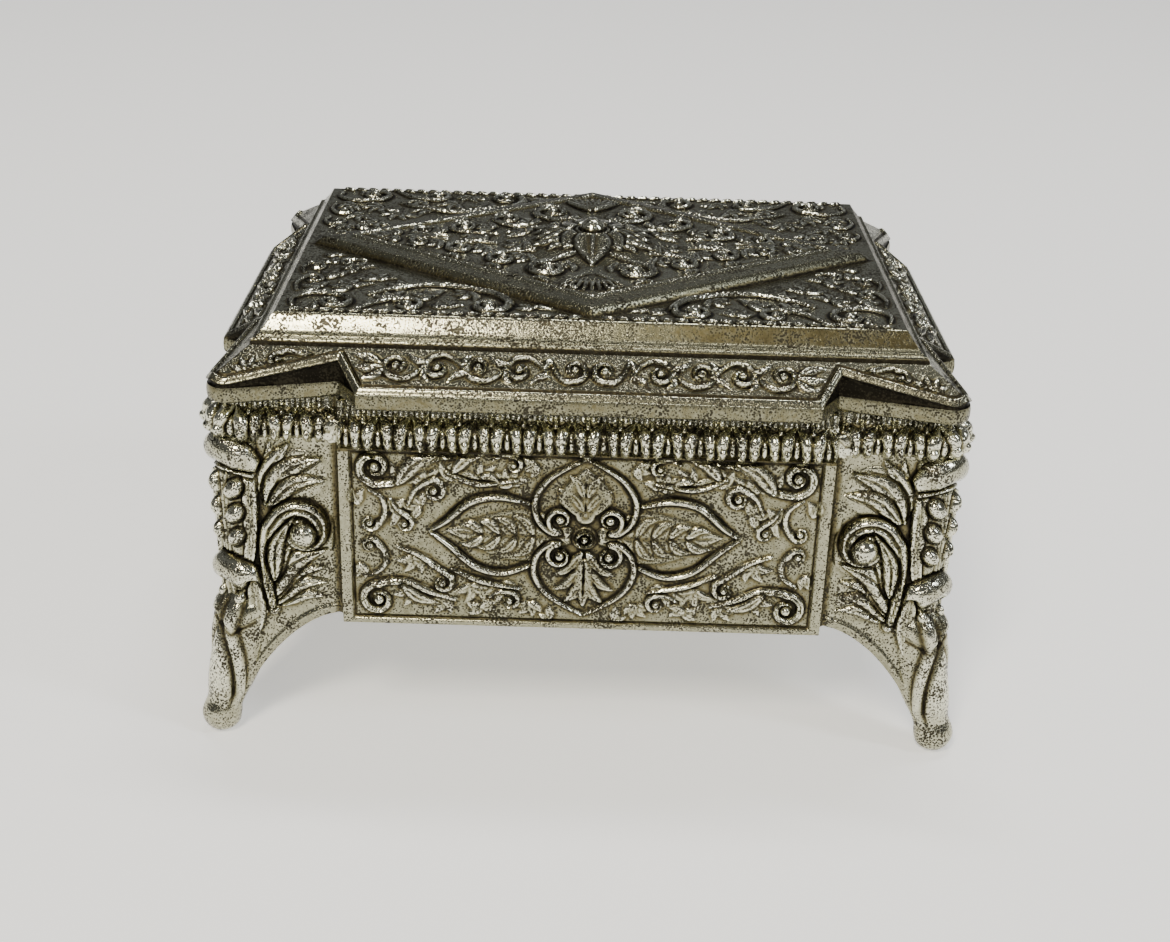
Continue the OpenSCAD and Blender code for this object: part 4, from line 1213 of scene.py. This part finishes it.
# underside: from the rim's foot to the hollow, stepping over the hinges where it meets them
rim_foot = edge - normal * 0.55
reach = np.abs(edge[:, 0])
straight = np.where(reach < 33, reach, 33 + (reach - 33) * (HOLLOW[0] - 33) / (tip_x - 33))
hollow_x = np.where(front, np.sign(edge[:, 0]) * straight, np.sign(edge[:, 0]) * HOLLOW[0])
hollow_y = np.where(front, np.sign(edge[:, 1]) * HOLLOW[1], edge[:, 1] * HOLLOW[1] / tip_y)
rim_to_hollow = np.stack([hollow_x, hollow_y], 1) - rim_foot
for t, lift in ((0, BARREL_TOP), (0.30, BARREL_TOP), (0.31, LID_Z + SEAT), (0.869, LID_Z + SEAT),
                (0.879, LID_Z), (1, LID_Z)):
    rows.append(np.column_stack([rim_foot + rim_to_hollow * t, np.where(cut, lift, LID_Z)]))
rows.append(np.column_stack([hollow_x, hollow_y, np.full(len(edge), TOP_Z - 2.2)]))
grid = np.stack(rows, 1)                       # around, then along the section
n = normals_of(grid, True, True)
print(len(rows), "rows round the lid")


# %% Ornament on the band
# the ornament is read in true distances, along x or y and down the slope
sheets = {True: FRONT_BAND, False: SIDE_BAND}
shallow = {k: hollows(s.h, 0.4) for k, s in sheets.items()}
band = slice(first_band, after_band)
pts = grid[:, band]
down = np.where(front[:, None], np.abs(pts[..., 1]) - bead_at[1], np.abs(pts[..., 0]) - bead_at[0])
down = BAND_LENGTH - down * BAND_LENGTH / BAND_RUN        # height on the band, from its foot
along = np.where(front[:, None], pts[..., 0], pts[..., 1])
order = np.arange(band_rows)
fade = np.clip(order / 3, 0, 1) * np.clip((band_rows - order) / 3, 0, 1)
raised, tarnish_and_painted_light = np.zeros((2, *grid.shape[:2]))
for key in (True, False):
    pick = front if key else ~front
    raised[pick, band] = sheets[key].sample(along[pick], down[pick]) * fade
    tarnish_and_painted_light[pick, band] = sheets[key].sample(along[pick], down[pick], shallow[key]) * 1.25 + 0.04
grid = grid + n * raised[..., None]
# painted light: the bevel is painted lighter towards its left, where the key lamp's reflection
# falls, and darker towards its right; the rim a little dull, grooves and recessed walls dark
tarnish_and_painted_light[:, 2:9] += 0.05 - 0.13 * np.clip((grid[:, 2:9, 0] + 8) / 30, 0, 1)
tarnish_and_painted_light[:, rim_row + 6:rim_row + 14] -= 0.035
tarnish_and_painted_light[:, first_band - 4:first_band] -= 0.18
tarnish_and_painted_light[:, after_band:after_band + 3] -= 0.16
tarnish_and_painted_light[:, after_band + 4:after_band + 10] += 0.06
# painted shade on the walls set back where the slope's edge stands over the rim
tarnish_and_painted_light[:, rim_row:rim_row + 6] -= 0.26 * np.clip(tall / 0.8, 0, 1)[:, None]
outward = np.sign(n[:, band, 2].mean())
print("band normals point", "up" if outward > 0 else "down")


# %% Two rings that share a row
# the row at the band's head ends both: bevel and step above it, band and rim below it
close = np.stack([rectangle(bead_at[0] - 0.6, bead_at[1] - 0.6, BEAD_Z - 0.9),
                  rectangle(top[0] - 0.5, top[1] - 0.5, TOP_Z - 2.2),
                  rectangle(top[0] - 0.5, top[1] - 0.5, TOP_Z - 0.3)], 1)
upper = slice(0, first_band + 1)
extra = ((0, 0), (0, close.shape[1]))
skin("lid_bevel", np.concatenate([grid[:, upper], close], 1), "lid", ["lid_shell"], CAST_SILVER,
     "cast_silver_plate", np.pad(tarnish_and_painted_light[:, upper], extra), round_u=True, flip=outward < 0)
lower = slice(first_band, None)
skin("lid_border", grid[:, lower], "lid", ["lid_shell"], CAST_SILVER, "cast_silver_plate",
     tarnish_and_painted_light[:, lower], round_u=True, flip=outward < 0)


# %% [markdown]
# ## The four walls
# Each wall's section goes up the panel, out and over the frieze, across the top and down the
# inside. Carrying it along the wall makes the casting. The panel's ornament and the frieze's leaves
# are read from their height maps at each point's true distance along and up the section.

# %% Section and height of the frieze
def frieze_section(face):
    """The frieze's profile as out and up pairs, from the panel's top to the wall's top."""
    out = np.array([0, 0.45, FLARE, FLARE, 0.35 * FLARE, -0.35 * FALL, -0.8 * FALL, -FALL])
    up = np.array([0, 0, 0, 0.34, 0.48, 0.58, 0.78, 1]) * FRIEZE_H
    up[:3] = -0.45, 0.15, 0.85
    return np.stack([face + out, FRIEZE_Z + up], 1)


FRIEZE_SHEET = frieze_ornament()
FRIEZE_HOLLOW = hollows(FRIEZE_SHEET.h, 0.4)
print("frieze rises to", FRIEZE_SHEET.h.max().round(2), "mm")


def frieze_height(along, up, values=None):
    """The repeat laid end to end: the distance along is folded into one pitch."""
    x = (along + FRIEZE_PITCH / 2) % FRIEZE_PITCH - FRIEZE_PITCH / 2
    return FRIEZE_SHEET.sample(x, up, values)


# %% Walls
def wall(name, half, face, inner, ornament, node, place, pitch=0.215, hinged=False):
    """A wall along x with its face towards +y: the section carried along the wall, and the ornament
    added along the normals. place turns the grid to where it belongs and says if it mirrors it."""
    section_face = steps([[face, PANEL_Z], [face, FRIEZE_Z - 0.45]], 0.205)
    section_frieze = steps(smooth_path(frieze_section(face), 20), 0.2)
    back = np.array([[inner, WALL_TOP], [inner, WALL_TOP - 2.7], [face - 2.4, WALL_TOP - 4.1],
                     [face - 2.4, PANEL_Z]])
    section = np.vstack([section_face[:-1], section_frieze, back])
    n_face, n_frieze = len(section_face) - 1, len(section_frieze)
    x = np.linspace(-half, half, int(2 * half / pitch) + 1)
    grid = np.empty((len(x), len(section), 3))
    grid[..., 0] = x[:, None]
    grid[..., 1:] = section
    n = normals_of(grid, False, True)
    if n[len(x) // 2, 5, 1] < 0:
        n = -n
    raised, tarnish_and_painted_light = np.zeros((2, *grid.shape[:2]))
    # panel: ornament inside a plain border with an incised line
    gx, gz = grid[:, :n_face, 0], grid[:, :n_face, 2]
    mid = (PANEL_Z + FRIEZE_Z) / 2 + 0.6
    side_gap = half - np.abs(gx)
    end_gap = np.minimum(gz - PANEL_Z, FRIEZE_Z - 0.3 - gz)
    frame_line = np.minimum(side_gap - 1.75, end_gap - 0.75)
    border = BORDER_PROUD * np.clip(0.5 - frame_line / 0.3, 0, 1)
    line = ridge(frame_line - 0.35, 0.22, 0.22)
    fade = np.clip((frame_line - 0.5) / 0.4, 0, 1)
    shallow = hollows(ornament.h, 0.5)
    raised[:, :n_face] = ornament.sample(gx, gz - mid) * fade + border - line
    tarnish_and_painted_light[:, :n_face] = ornament.sample(gx, gz - mid, shallow) * 0.85 - line * 0.8 + border * 0.1
    # the middle is rubbed less than the ends and stays darker
    tarnish_and_painted_light[:, :n_face] -= 0.05 * np.exp(-(((gx / 17) ** 2 + ((gz - mid) / 13) ** 2) ** 2))
    # frieze
    run = np.r_[0, np.cumsum(np.linalg.norm(np.diff(section_frieze, axis=0), axis=1))]
    fz = slice(n_face, n_face + n_frieze)
    fade = np.clip((half - np.abs(x)) / 0.5, 0, 1)[:, None]
    foot = np.clip((run - 0.55) / 0.3, 0, 1)
    raised[:, fz] = frieze_height(x[:, None], run[None] - 1.0) * fade * foot * 0.9
    # the 0.11 added lightens the whole frieze: a painted highlight, as the frieze catches more light than the panel
    tarnish_and_painted_light[:, fz] = frieze_height(x[:, None], run[None] - 1.0, FRIEZE_HOLLOW) * 0.85 + 0.11
    tarnish_and_painted_light[:, n_face - 3:n_face + 2] -= 0.14
    grid = grid + n * raised[..., None]
    if hinged:
        seat = np.abs(np.abs(x) - HINGE_X) < HINGE_HALF
        grid[seat, :, 2] = np.minimum(grid[seat, :, 2], WALL_TOP - SEAT)
    grid, mirrored = place(grid)
    return skin(name, grid, "box", [node], CAST_SILVER, "cast_silver_plate", tarnish_and_painted_light, flip=mirrored)


# each turns a wall's grid to its side of the box and says whether that mirrors it
def to_front(g): return g * [1, -1, 1], True
def to_back(g): return g, False
def to_right(g): return g[..., [1, 0, 2]], True
def to_left(g): return g[..., [1, 0, 2]] * [-1, 1, 1], False


INNER_X, INNER_Y = FACE_X - 5.4, FACE_Y - 5.3       # the compartment's half sizes
LONG_PANEL, SHORT_PANEL = long_panel_ornament(), short_panel_ornament()
print("panels rise to", LONG_PANEL.h.max().round(2), "and", SHORT_PANEL.h.max().round(2), "mm")
wall("front_wall", PANEL_X, FACE_Y, INNER_Y, LONG_PANEL, "front_panel", to_front)
wall("back_wall", PANEL_X, FACE_Y, INNER_Y, LONG_PANEL, "back_panel", to_back, hinged=True)
wall("right_wall", PANEL_Y, FACE_X, INNER_X, SHORT_PANEL, "right_panel", to_right)
wall("left_wall", PANEL_Y, FACE_X, INNER_X, SHORT_PANEL, "left_panel", to_left)


# %% [markdown]
# ## Corner posts
# The post's plan is a soft corner that runs from a cove beside one panel to a cove beside the
# next. It is carried down from the frieze to a lower edge that follows the open arch, so the
# grid's rows close up over the arch and stretch over the leg. The bold ornament is twice as high as
# the panels': a pod on the very corner and a great scroll on either face.

# %% Plan of a post
POST_R = 6.0             # radius of the corner, mm
POST = np.array([FACE_X + 1.4 - POST_R, FACE_Y - 2.9 + 0.6 - POST_R])
FOOT = box_mm("leg_back_right")[1, :2] - 3.4
ARCH_X, ARCH_Y = FOOT - 4.0


def post_plan():
    """The plan from the back panel's end round to the right panel's end, as points and the
    distance of each from the corner's outer edge, along the face."""
    root_a = np.array([PANEL_X + 2.5, FACE_Y - 2.9])
    root_b = np.array([FACE_X - 2.0, PANEL_Y + 2.5])
    da, db = root_a - POST, root_b - POST
    a0 = np.arctan2(da[1], da[0]) - np.arccos(POST_R / np.linalg.norm(da))
    a1 = np.arctan2(db[1], db[0]) + np.arccos(POST_R / np.linalg.norm(db))
    turn = np.linspace(a0, a1, 31)
    arc = POST + POST_R * np.stack([np.cos(turn), np.sin(turn)], 1)
    cove_a = smooth_path([(PANEL_X - 0.05, FACE_Y - 0.2), (PANEL_X + 0.25, FACE_Y - 1.9),
                          (PANEL_X + 1.1, FACE_Y - 2.9), (PANEL_X + 2.2, FACE_Y - 2.75)], 16)
    cove_b = smooth_path([(FACE_X - 1.8, PANEL_Y + 2.2), (FACE_X - 1.7, PANEL_Y + 1.1),
                          (FACE_X - 1.1, PANEL_Y + 0.25), (FACE_X - 0.2, PANEL_Y - 0.05)], 16)
    line = steps(np.vstack([cove_a, root_a + [0.3, 0], arc, root_b + [0, 0.3], cove_b]), 0.21)
    run = np.r_[0, np.cumsum(np.linalg.norm(np.diff(line, axis=0), axis=1))]
    corner = POST + POST_R * np.array([np.cos(np.pi / 4), np.sin(np.pi / 4)])
    outer = np.argmin(np.linalg.norm(line - corner, axis=1))
    return line, run - run[outer]


def arch_height(distance, far):
    """The arch's edge over a distance from the panel's end: a softened quarter ellipse."""
    c = np.clip(distance / far, 0, 1) ** (1 / 1.15)
    return PANEL_Z * np.clip(1 - c * c, 0, 1) ** (1.15 / 2)


# %% Corner posts
POST_ROWS, ARCH_LOW = 236, 7.0           # rows up a post's face; where its edge meets the leg, mm
SHEET_REACH, SEAM = 18.7, 3.3            # width of the drawn sheet and of a face's plain end, mm


def post(name, node, sx, sy):
    """The plan carried up from the arch's edge to the top, leaning out at the foot, with the
    frieze over it and a shell behind; ornament moves the face along its normals."""
    line, s = post_plan()
    ahead = np.gradient(line, axis=0)
    out = np.stack([-ahead[:, 1], ahead[:, 0]], 1)
    out /= np.linalg.norm(out, axis=1, keepdims=True)
    if out[len(out) // 2].sum() < 0:
        out = -out
    low = np.where(s < 0, arch_height(line[:, 0] - PANEL_X, ARCH_X - PANEL_X),
                   arch_height(line[:, 1] - PANEL_Y, ARCH_Y - PANEL_Y))
    low = np.maximum(low, ARCH_LOW)
    t = np.linspace(0, 1, POST_ROWS)
    z = low[:, None] + (FRIEZE_Z - 0.45 - low[:, None]) * t
    # the face leans out towards the foot as it goes down
    lean = np.clip((24 - z) / 24, 0, 1) ** 1.6 * 3.0
    core = np.exp(-((s / 9.0) ** 2))[:, None]
    diagonal = np.array([0.78, 0.62])
    face = np.stack([line[:, None, 0] + lean * core * diagonal[0],
                     line[:, None, 1] + lean * core * diagonal[1], z], -1)
    fr = steps(smooth_path(frieze_section(0.0), 20), 0.2)
    frieze = np.stack([line[:, None, 0] + out[:, None, 0] * fr[:, 0],
                       line[:, None, 1] + out[:, None, 1] * fr[:, 0],
                       np.broadcast_to(fr[:, 1], (len(line), len(fr)))], -1)
    # behind: a ledge at the top fills the corner of the compartment, a shell runs down below it
    inner = line - out * 2.3
    ledge_x = np.where(s < 0, PANEL_X + (INNER_X - PANEL_X) * (1 - s / s.min()), INNER_X)
    ledge_y = np.where(s > 0, PANEL_Y + (INNER_Y - PANEL_Y) * (1 - s / s.max()), INNER_Y)
    ledge = np.column_stack([ledge_x, ledge_y])
    back = [np.column_stack([ledge, np.full(len(line), WALL_TOP)]),
            np.column_stack([ledge, np.full(len(line), WALL_TOP - 2.7)]),
            np.column_stack([inner, np.full(len(line), WALL_TOP - 4.1)]),
            np.column_stack([inner + lean[:, :1] * core * diagonal, low])]
    grid = np.concatenate([face[:, :-1], frieze, np.stack(back, 1)], 1)
    n = normals_of(grid, False, True)
    if n[len(line) // 2, 100, :2].sum() < 0:
        n = -n
    # the scroll's sheet is as wide as the long face; the short face squeezes it
    u = np.where(s < 0, -s, s * SHEET_REACH / (s.max() - SEAM))
    raised, tarnish_and_painted_light = np.zeros((2, *grid.shape[:2]))
    nf = POST_ROWS - 1
    up = z[:, :-1]
    edge_gap = (up - low[:, None]) * np.clip(0.5 + 0.5 * np.abs(s)[:, None] / 18, 0, 1)
    seam = np.minimum(s - s.min(), s.max() - s)[:, None]
    fade = (np.clip(edge_gap / 1.2, 0, 1) * np.clip((seam - 3.0) / 0.6, 0, 1)
            * np.clip((FRIEZE_Z - 0.2 - up) / 0.4, 0, 1))
    raised[:, :nf] = POST_SHEET.sample(u[:, None] + 0 * up, up) * fade
    border = ridge(edge_gap - 1.3, 0.7, 0.45) * np.clip((seam - 2.4) / 0.5, 0, 1)
    raised[:, :nf] = np.maximum(raised[:, :nf], border)
    tarnish_and_painted_light[:, :nf] = POST_SHEET.sample(u[:, None] + 0 * up, up, POST_HOLLOW) * fade * 0.55 + 0.04
    tarnish_and_painted_light[:, :nf] -= 0.15 * np.clip((4.0 - seam) / 0.8, 0, 1)       # the coves stay dark
    fz = slice(nf, nf + len(fr))
    run = np.r_[0, np.cumsum(np.linalg.norm(np.diff(fr, axis=0), axis=1))]
    fade = np.clip(seam / 0.5, 0, 1)
    foot = np.clip((run - 0.55) / 0.3, 0, 1)
    raised[:, fz] = frieze_height(s[:, None], run[None] - 1.0) * fade * foot * 0.9
    # the 0.11 added lightens the whole frieze: a painted highlight, as the frieze catches more light than the panel
    tarnish_and_painted_light[:, fz] = frieze_height(s[:, None], run[None] - 1.0, FRIEZE_HOLLOW) * 0.85 + 0.11
    tarnish_and_painted_light[:, fz] -= 0.16 * np.clip((3.4 - seam) / 0.8, 0, 1)
    grid = grid + n * raised[..., None]
    return skin(name, grid * [sx, sy, 1], "box", [node], CAST_SILVER, "cast_silver_plate",
                tarnish_and_painted_light, flip=sx * sy > 0)


POST_SHEET = post_ornament()
POST_HOLLOW = hollows(POST_SHEET.h, 0.6)
print("posts rise to", POST_SHEET.h.max().round(2), "mm")
CORNERS = {"front_left": (-1, -1), "front_right": (1, -1), "back_left": (-1, 1),
           "back_right": (1, 1)}
for corner, (sx, sy) in CORNERS.items():
    post("post_" + corner, "leg_" + corner, sx, sy)


# %% [markdown]
# ## Legs
# Below the post a fluted leg sweeps out to a round foot. It is a tube round a bent path: centre
# and radius are read along the leg's height, and its flutes are grooves at angles from the outer
# edge that part as the leg goes down and die out at the foot.

# %% Legs and feet
def leg(name, node, sx, sy):
    """A tube whose centre and radius follow the leg's height. Its section is round, drawn out
    inward along both faces while it is high, so that it melts into the arch's web; a fold on the
    outer edge and two flutes beside it fade towards the round foot."""
    # height, x and y past the foot's own place, radius and spread, all mm
    stations = np.array([
        [27.0, -5.6, -5.2, 4.6, 0.6], [24.0, -4.9, -4.5, 5.2, 0.9], [20.0, -3.9, -3.6, 5.0, 1.1],
        [16.0, -3.3, -2.8, 4.7, 1.0], [12.0, -2.4, -1.9, 4.2, 0.8], [9.0, -1.6, -1.1, 3.75, 0.5],
        [6.6, -0.8, -0.5, 3.35, 0.25], [4.8, -0.1, 0.0, 3.3, 0.08], [3.2, 0.1, 0.1, 3.38, 0],
        [1.8, 0.1, 0.1, 3.15, 0], [0.8, 0.1, 0.1, 2.55, 0], [0.25, 0.1, 0.1, 1.7, 0],
        [0.0, 0.1, 0.1, 0.9, 0]])
    path = smooth_path(stations, 170)
    turn = np.linspace(0, 2 * np.pi, 144, endpoint=False)
    z, r, spread = path[:, 0:1], path[:, 3:4], path[:, 4:5]
    away = (turn[None] - np.pi / 4 + np.pi) % (2 * np.pi) - np.pi      # 0 on the outer edge
    live = np.clip((z - 4.5) / 4, 0, 1) * np.clip((28 - z) / 3, 0, 1)
    # a long leaf lies on the outer edge: grooves start together at the top and part downwards
    far = np.abs(away)
    opening = 0.10 + 1.05 * np.clip((21 - z) / 13, 0, 1)
    groove = ridge(far - opening, 0.11, 0.55) + ridge(far - opening - 0.62, 0.10, 0.40)
    fold = (0.75 * np.clip(1 - (far / (opening + 0.05)) ** 2, 0, 1) ** 0.6
            * np.clip((z - 5) / 6, 0.25, 1))
    flank = 0.55 * np.clip(1 - ((far - opening - 0.31) / 0.34) ** 2, 0, 1) ** 0.6
    lobe = (fold + flank - groove) * live
    # the leaf that caps the leg: three overlapping tips
    tips = 20.5 + 2.3 * np.abs(np.cos(1.5 * (away + 0.5)))
    cap = 0.5 * np.clip((z - tips) / 0.8, 0, 1) * np.clip((29 - z) / 4, 0, 1)
    inward = np.clip(-np.cos(turn[None] - np.pi / 4), 0, 1) ** 1.5
    bulb = 0.28 * np.exp(-(((z - 3.7) / 1.9) ** 2)) * (0.6 + 0.4 * np.cos(away))
    rr = r + (lobe + cap + bulb) + spread * inward
    grid = np.stack([FOOT[0] + path[:, 1:2] + rr * np.cos(turn),
                     FOOT[1] + path[:, 2:3] + rr * np.sin(turn),
                     np.broadcast_to(np.maximum(z, 0), rr.shape)], -1)
    lip = ridge(z - tips + 0.5, 0.45, 1.0) * np.clip((29 - z) / 4, 0, 1)
    tarnish_and_painted_light = 0.07 + (0.12 * (fold + flank) - 0.55 * groove) * live - 0.22 * lip
    return skin(name, grid * [sx, sy, 1], "box", [node], CAST_SILVER, "cast_silver_plate",
                tarnish_and_painted_light, flip=sx * sy > 0)


for corner, (sx, sy) in CORNERS.items():
    leg("foot_" + corner, "leg_" + corner, sx, sy)


# %% [markdown]
# ## Velvet
# The lining is velvet over card: a floor pad and four walls in the compartment and a pad inside
# the lid. A pad is a rounded block, crowned in the middle and pulled down at its edges, as glued
# velvet over wadding is.

# %% Velvet pads
def pad(name, node, body, crown, up):
    """A closed pad in its solid's box. Its plan is a superellipse: the sine and cosine are
    raised to a small power for crisp corners, and the shown face is crowned by the root of the
    product of one minus each distance's fourth power."""
    low, high = box_mm(node)
    centre, half = (low + high) / 2, (high - low) / 2
    axis = int(np.argmin(half))
    others = [k for k in range(3) if k != axis]

    def power(c, p):
        return np.sign(c) * np.abs(c) ** p

    # rings from the middle of the back over the edge to the middle of the front
    v = np.linspace(-1, 1, 48)
    reach = np.where(np.abs(v) < 0.12, 1, 1 - (np.abs(v) - 0.12) / 0.88)
    level = power(np.clip(v / 0.12, -1, 1), 0.8)
    turn = np.linspace(0, 2 * np.pi, 96, endpoint=False)
    plan = power(np.stack([np.cos(turn), np.sin(turn)], -1), 0.12)[:, None]
    plan = plan * (reach * (1 - 0.02 * np.abs(level) ** 4))[:, None]
    grid = np.empty((*plan.shape[:2], 3))
    grid[..., others] = centre[others] + half[others] * plan
    swell = np.clip((1 - plan[..., 0] ** 4) * (1 - plan[..., 1] ** 4), 0, 1) ** 0.5
    thick = half[axis] * np.where(v * up > 0, (1 - crown) + crown * swell, 1.0)
    grid[..., axis] = centre[axis] + thick * level
    grid[:, 0, others] = grid[:, -1, others] = centre[others]
    piece = skin(name, grid, body, [node], VELVET, "crimson_velvet", round_u=True, round_v=False,
                 crease=80)
    # the middles' points become one, and the faces turn outwards
    bm = bmesh.new()
    bm.from_mesh(piece.data)
    bmesh.ops.remove_doubles(bm, verts=bm.verts, dist=1e-6)
    bmesh.ops.recalc_face_normals(bm, faces=bm.faces)
    bm.to_mesh(piece.data)
    bm.free()
    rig.padded(piece, fill=0.5)
    return piece


pad("floor_pad", "floor_velvet", "box", 0.35, 1)
pad("lid_pad", "lid_velvet", "lid", 0.45, -1)
for side, up in (("front", 1), ("back", -1), ("left", 1), ("right", -1)):
    pad(side + "_wall_pad", side + "_wall_velvet", "box", 0.25, up)


# %% [markdown]
# ## The plain solids
# The bottom plate, the hinges and the lining's cards are flat or plainly round, and their solids
# already have the right shape. They only need a finish: washed sheet silver, wire or board.

# %% Finishes for the solids that stay
for node in frame["nodes"]:
    piece = bpy.data.objects.get(node)
    if piece is None or piece.type != "MESH":
        continue
    finish = WIRE if "pin" in node else BOARD if "card" in node else SHEET_SILVER
    if not piece.material_slots:
        piece.data.materials.append(finish)
    for slot in piece.material_slots:
        slot.material = finish
print("finishes given to", len(frame["nodes"]), "solids")


# %% [markdown]
# ## Floor, light and camera
# The box stands on a plain pale sheet in soft light. A metal shows its surroundings more than its
# own colour, so the room is darker than the floor: the lit floor brightens the walls, a large soft
# lamp overhead puts the sparkle on the relief, and the dim room keeps the planes between dark.

# %% Floor
def floor():
    """A level square of 6 m by 6 m."""
    half = 3.0
    mesh = bpy.data.meshes.new("studio_floor")
    corners = [(-half, -half, 0), (half, -half, 0), (half, half, 0), (-half, half, 0)]
    mesh.from_pydata(corners, [], [(0, 1, 2, 3)])
    sheet, tree, shader = new_finish("matt_white_backdrop_paper")
    shader.inputs["Base Color"].default_value = colour("#FBFBFA")
    shader.inputs["Roughness"].default_value = 0.9
    shader.inputs["Specular IOR Level"].default_value = 0.1
    shader.inputs["Emission Color"].default_value = colour("#FFFDF8")
    shader.inputs["Emission Strength"].default_value = 0.60
    mesh.materials.append(sheet)
    piece = bpy.data.objects.new("studio_floor", mesh)
    bpy.context.scene.collection.objects.link(piece)
    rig.stage(piece)
    return piece


floor()


# %% [markdown]
# ## Light
# Five soft rectangles of light stand round the box: a key at the left front, a weak cool fill at
# the right, a strip overhead, a long low strip in front that draws a line of light on the rims, and
# a faint one behind. Rectangles keep the reflections in the metal straight-edged and soft.

# %% Lamps and room
AIM = Vector((0, 0, 0.05))       # the lamps' common aim, low in the box


def lamp(name, where, size, power, tint):
    """A soft lamp: a rectangle of light, size in metres and power in watts, turned to the box."""
    light = bpy.data.lights.new(name, "AREA")
    light.shape = "RECTANGLE"
    light.size, light.size_y = size
    light.energy = power
    light.color = colour(tint)[:3]
    piece = bpy.data.objects.new(name, light)
    piece.location = where
    away = Vector(where) - AIM
    piece.rotation_euler = away.to_track_quat("Z", "Y").to_euler()
    bpy.context.scene.collection.objects.link(piece)
    return piece


lamp("key", (-0.25, -0.70, 0.88), (0.22, 0.34), 8.0, "#FFF6E2")
lamp("fill", (0.85, -0.35, 0.75), (0.15, 0.4), 3.0, "#EEF4FF")
lamp("top", (0.1, 0.30, 1.15), (0.6, 0.10), 5.0, "#FFFFFF")
lamp("front", (0.15, -1.3, 0.66), (1.3, 0.05), 3.6, "#FFFBF2")
lamp("behind", (0.3, 1.6, 0.80), (1.6, 0.3), 0.45, "#EAF1FF")
world = bpy.data.worlds.new("studio_room")
bpy.context.scene.world = world
world.use_nodes = True
room = world.node_tree.nodes["Background"]
room.inputs["Color"].default_value = colour("#F4F5F6")
room.inputs["Strength"].default_value = 0.15
print("lamps:", {light.name: round(light.energy, 2) for light in bpy.data.lights})


# %% [markdown]
# ## Camera
# A long lens from in front and a little above keeps the box's verticals almost parallel. It is
# placed by bearing and height, as one would walk round the box, and not by typed coordinates.

# %% Camera
def camera():
    """The camera looks at the box from in front and above, by its bearing, height angle, tilt and
    distance."""
    bearing, height, tilt, distance = -0.0081, 0.4473, 0.0334, 332.98     # radians, and mm
    back = np.array([np.sin(bearing) * np.cos(height), -np.cos(bearing) * np.cos(height),
                     np.sin(height)])
    right = np.array([np.cos(bearing), np.sin(bearing), 0.0])
    up = np.cross(back, right)
    r = np.cos(tilt) * right + np.sin(tilt) * up
    u = -np.sin(tilt) * right + np.cos(tilt) * up
    place = back * distance + np.array([0, 0, 35.0]) + right * 0.0753 - up * 2.2273
    lens = bpy.data.cameras.new("camera")
    lens.sensor_fit = "HORIZONTAL"
    lens.sensor_width = 36.0
    lens.lens = 36.0 * 1700 / 1170
    lens.clip_start, lens.clip_end = 0.01, 20.0
    piece = bpy.data.objects.new("camera", lens)
    world_matrix = Matrix.Identity(4)
    for row in range(3):
        world_matrix[row][0], world_matrix[row][1], world_matrix[row][2] = r[row], u[row], back[row]
        world_matrix[row][3] = place[row] * MM
    piece.matrix_world = world_matrix
    bpy.context.scene.collection.objects.link(piece)
    bpy.context.scene.camera = piece
    return piece


print("camera", round(camera().matrix_world.translation.length, 3), "m away")


# %% [markdown]
# ## Sizes and finish
# The last cell writes the solids' box and the pieces' box side by side, so that the two can be
# compared.

# %% Sizes and finish
with open("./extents.json", "w") as sizes:
    json.dump({"cad": [list(map(float, p)) for p in cad_box], "visual": [list(map(float, p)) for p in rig.bounds()]}, sizes)
print(open("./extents.json").read())
